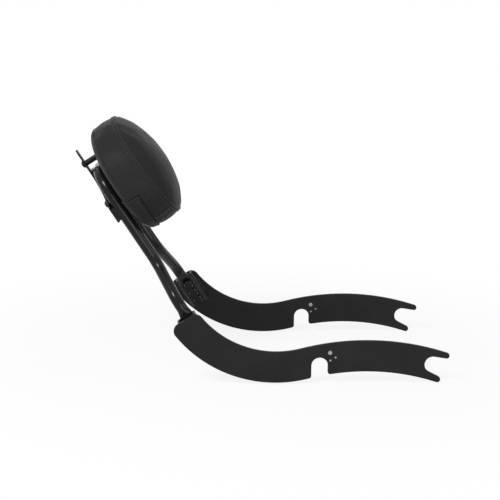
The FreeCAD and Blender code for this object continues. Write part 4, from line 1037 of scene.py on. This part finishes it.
class BACKREST_OT_make_stage(bpy.types.Operator):
    """Makes the pale floor, the soft lamps, the surroundings and the camera."""
    bl_idname = "backrest.make_stage"
    bl_label = "Make the Stage"

    def execute(self, context):
        settings = context.scene.backrest_stage
        scene = context.scene
        scene.view_settings.view_transform = "Standard"
        low, high = CAD_BOX
        centre = (Vector(low) + Vector(high)) / 2
        level = low[2] - settings.floor_gap
        corners = np.array([(x * FLOOR_HALF, y * FLOOR_HALF, level)
                            for x, y in ((-1, -1), (1, -1), (1, 1), (-1, 1))])
        quad = np.array([[0, 1, 2, 3]])
        floor = add_piece("floor", corners, [quad], self.floor_material(centre), smooth=False)
        self.surroundings(scene, settings)
        lamp("side", (-1.15, 1.2, 1.65), centre, (0.6, 0.6), settings.side_power)
        lamp("fill", (-2.0, -0.4, 0.35), centre, (0.9, 0.9), settings.fill_power)
        lamp("front", (-0.86, -1.85, 0.85), centre, (0.25, 1.1), settings.front_power)
        self.camera(scene)
        return {"FINISHED"}

    def floor_material(self, centre):
        """Pale floor that keeps a soft shadow near the object and is plain white far from it."""
        material = bpy.data.materials.new("pale_floor")
        material.use_nodes = True
        tree = material.node_tree
        tree.nodes.clear()
        out = tree.nodes.new("ShaderNodeOutputMaterial")
        surface = tree.nodes.new("ShaderNodeBsdfDiffuse")
        surface.inputs["Color"].default_value = (0.86, 0.86, 0.86, 1.0)
        white = tree.nodes.new("ShaderNodeEmission")
        white.inputs["Strength"].default_value = 1.0
        place = tree.nodes.new("ShaderNodeTexCoord")
        apart = tree.nodes.new("ShaderNodeVectorMath")
        apart.operation = "DISTANCE"
        tree.links.new(place.outputs["Object"], apart.inputs[0])
        apart.inputs[1].default_value = (centre.x, centre.y, CAD_BOX[0][2])
        far = map_range(tree, apart.outputs["Value"], FLOOR_NEAR, FLOOR_FAR, FLOOR_WHITE_NEAR, 1.0,
                        "SMOOTHSTEP")
        mix = tree.nodes.new("ShaderNodeMixShader")
        share = math_node(tree, "MULTIPLY", far, shown_background(tree))
        tree.links.new(share, mix.inputs["Fac"])
        tree.links.new(surface.outputs["BSDF"], mix.inputs[1])
        tree.links.new(white.outputs["Emission"], mix.inputs[2])
        tree.links.new(mix.outputs["Shader"], out.inputs["Surface"])
        return material

    def surroundings(self, scene, settings):
        """White where it is seen and a plain dimmer level where it only lights."""
        world = bpy.data.worlds.new("pale_surroundings")
        scene.world = world
        world.use_nodes = True
        tree = world.node_tree
        tree.nodes.clear()
        out = tree.nodes.new("ShaderNodeOutputWorld")
        light, seen = (tree.nodes.new("ShaderNodeBackground") for _ in range(2))
        light.inputs["Strength"].default_value = settings.world_level
        for node in (light, seen):
            node.inputs["Color"].default_value = (1.0, 1.0, 1.0, 1.0)
        mix = tree.nodes.new("ShaderNodeMixShader")
        tree.links.new(shown_background(tree), mix.inputs["Fac"])
        tree.links.new(light.outputs["Background"], mix.inputs[1])
        tree.links.new(seen.outputs["Background"], mix.inputs[2])
        tree.links.new(mix.outputs["Shader"], out.inputs["Surface"])

    def camera(self, scene):
        """The photograph's place and direction."""
        data = bpy.data.cameras.new("camera")
        data.sensor_fit = "HORIZONTAL"
        data.sensor_width = 36.0
        data.lens = CAMERA_LENS
        data.clip_start, data.clip_end = 0.05, 60.0
        piece = bpy.data.objects.new("camera", data)
        right, up = Vector(CAMERA_RIGHT).normalized(), -Vector(CAMERA_DOWN).normalized()
        back = right.cross(up).normalized()
        up = back.cross(right)
        turn = Matrix((right, up, back)).transposed().to_4x4()
        piece.matrix_world = Matrix.Translation(Vector(CAMERA_PLACE)) @ turn
        scene.collection.objects.link(piece)
        scene.camera = piece


class BACKREST_PT_panel(bpy.types.Panel):
    """Lists the steps and their settings in the sidebar."""
    bl_idname = "BACKREST_PT_panel"
    bl_label = "Passenger Backrest"
    bl_space_type = "VIEW_3D"
    bl_region_type = "UI"
    bl_category = "Backrest"

    def draw(self, context):
        steps = (
            (context.scene.backrest_finish,
             ("coat_plates", "coat_tube", "plate_fasteners", "finish_inside")),
            (context.scene.backrest_pad, ("make_cover", "make_wrap", "make_stitches")),
            (context.scene.backrest_stage, ("make_stage",)),
        )
        for owner, operators in steps:
            for prop in type(owner).__annotations__:
                self.layout.prop(owner, prop)
            for operator in operators:
                self.layout.operator("backrest." + operator)


CLASSES = (
    PadSettings, FinishSettings, StageSettings, BACKREST_OT_coat_plates, BACKREST_OT_coat_tube,
    BACKREST_OT_plate_fasteners, BACKREST_OT_finish_inside, BACKREST_OT_make_cover,
    BACKREST_OT_make_wrap, BACKREST_OT_make_stitches, BACKREST_OT_make_stage, BACKREST_PT_panel,
)


def register():
    for kind in CLASSES:
        bpy.utils.register_class(kind)
    bpy.types.Scene.backrest_pad = bpy.props.PointerProperty(type=PadSettings)
    bpy.types.Scene.backrest_finish = bpy.props.PointerProperty(type=FinishSettings)
    bpy.types.Scene.backrest_stage = bpy.props.PointerProperty(type=StageSettings)


def unregister():
    for name in ("backrest_pad", "backrest_finish", "backrest_stage"):
        delattr(bpy.types.Scene, name)
    for kind in reversed(CLASSES):
        bpy.utils.unregister_class(kind)


def main():
    """Makes everything."""
    register()
    bpy.ops.backrest.coat_plates()
    bpy.ops.backrest.coat_tube()
    bpy.ops.backrest.plate_fasteners()
    bpy.ops.backrest.finish_inside()
    bpy.ops.backrest.make_cover()
    bpy.ops.backrest.make_wrap()
    bpy.ops.backrest.make_stitches()
    bpy.ops.backrest.make_stage()


if __name__ == "__main__":
    main()
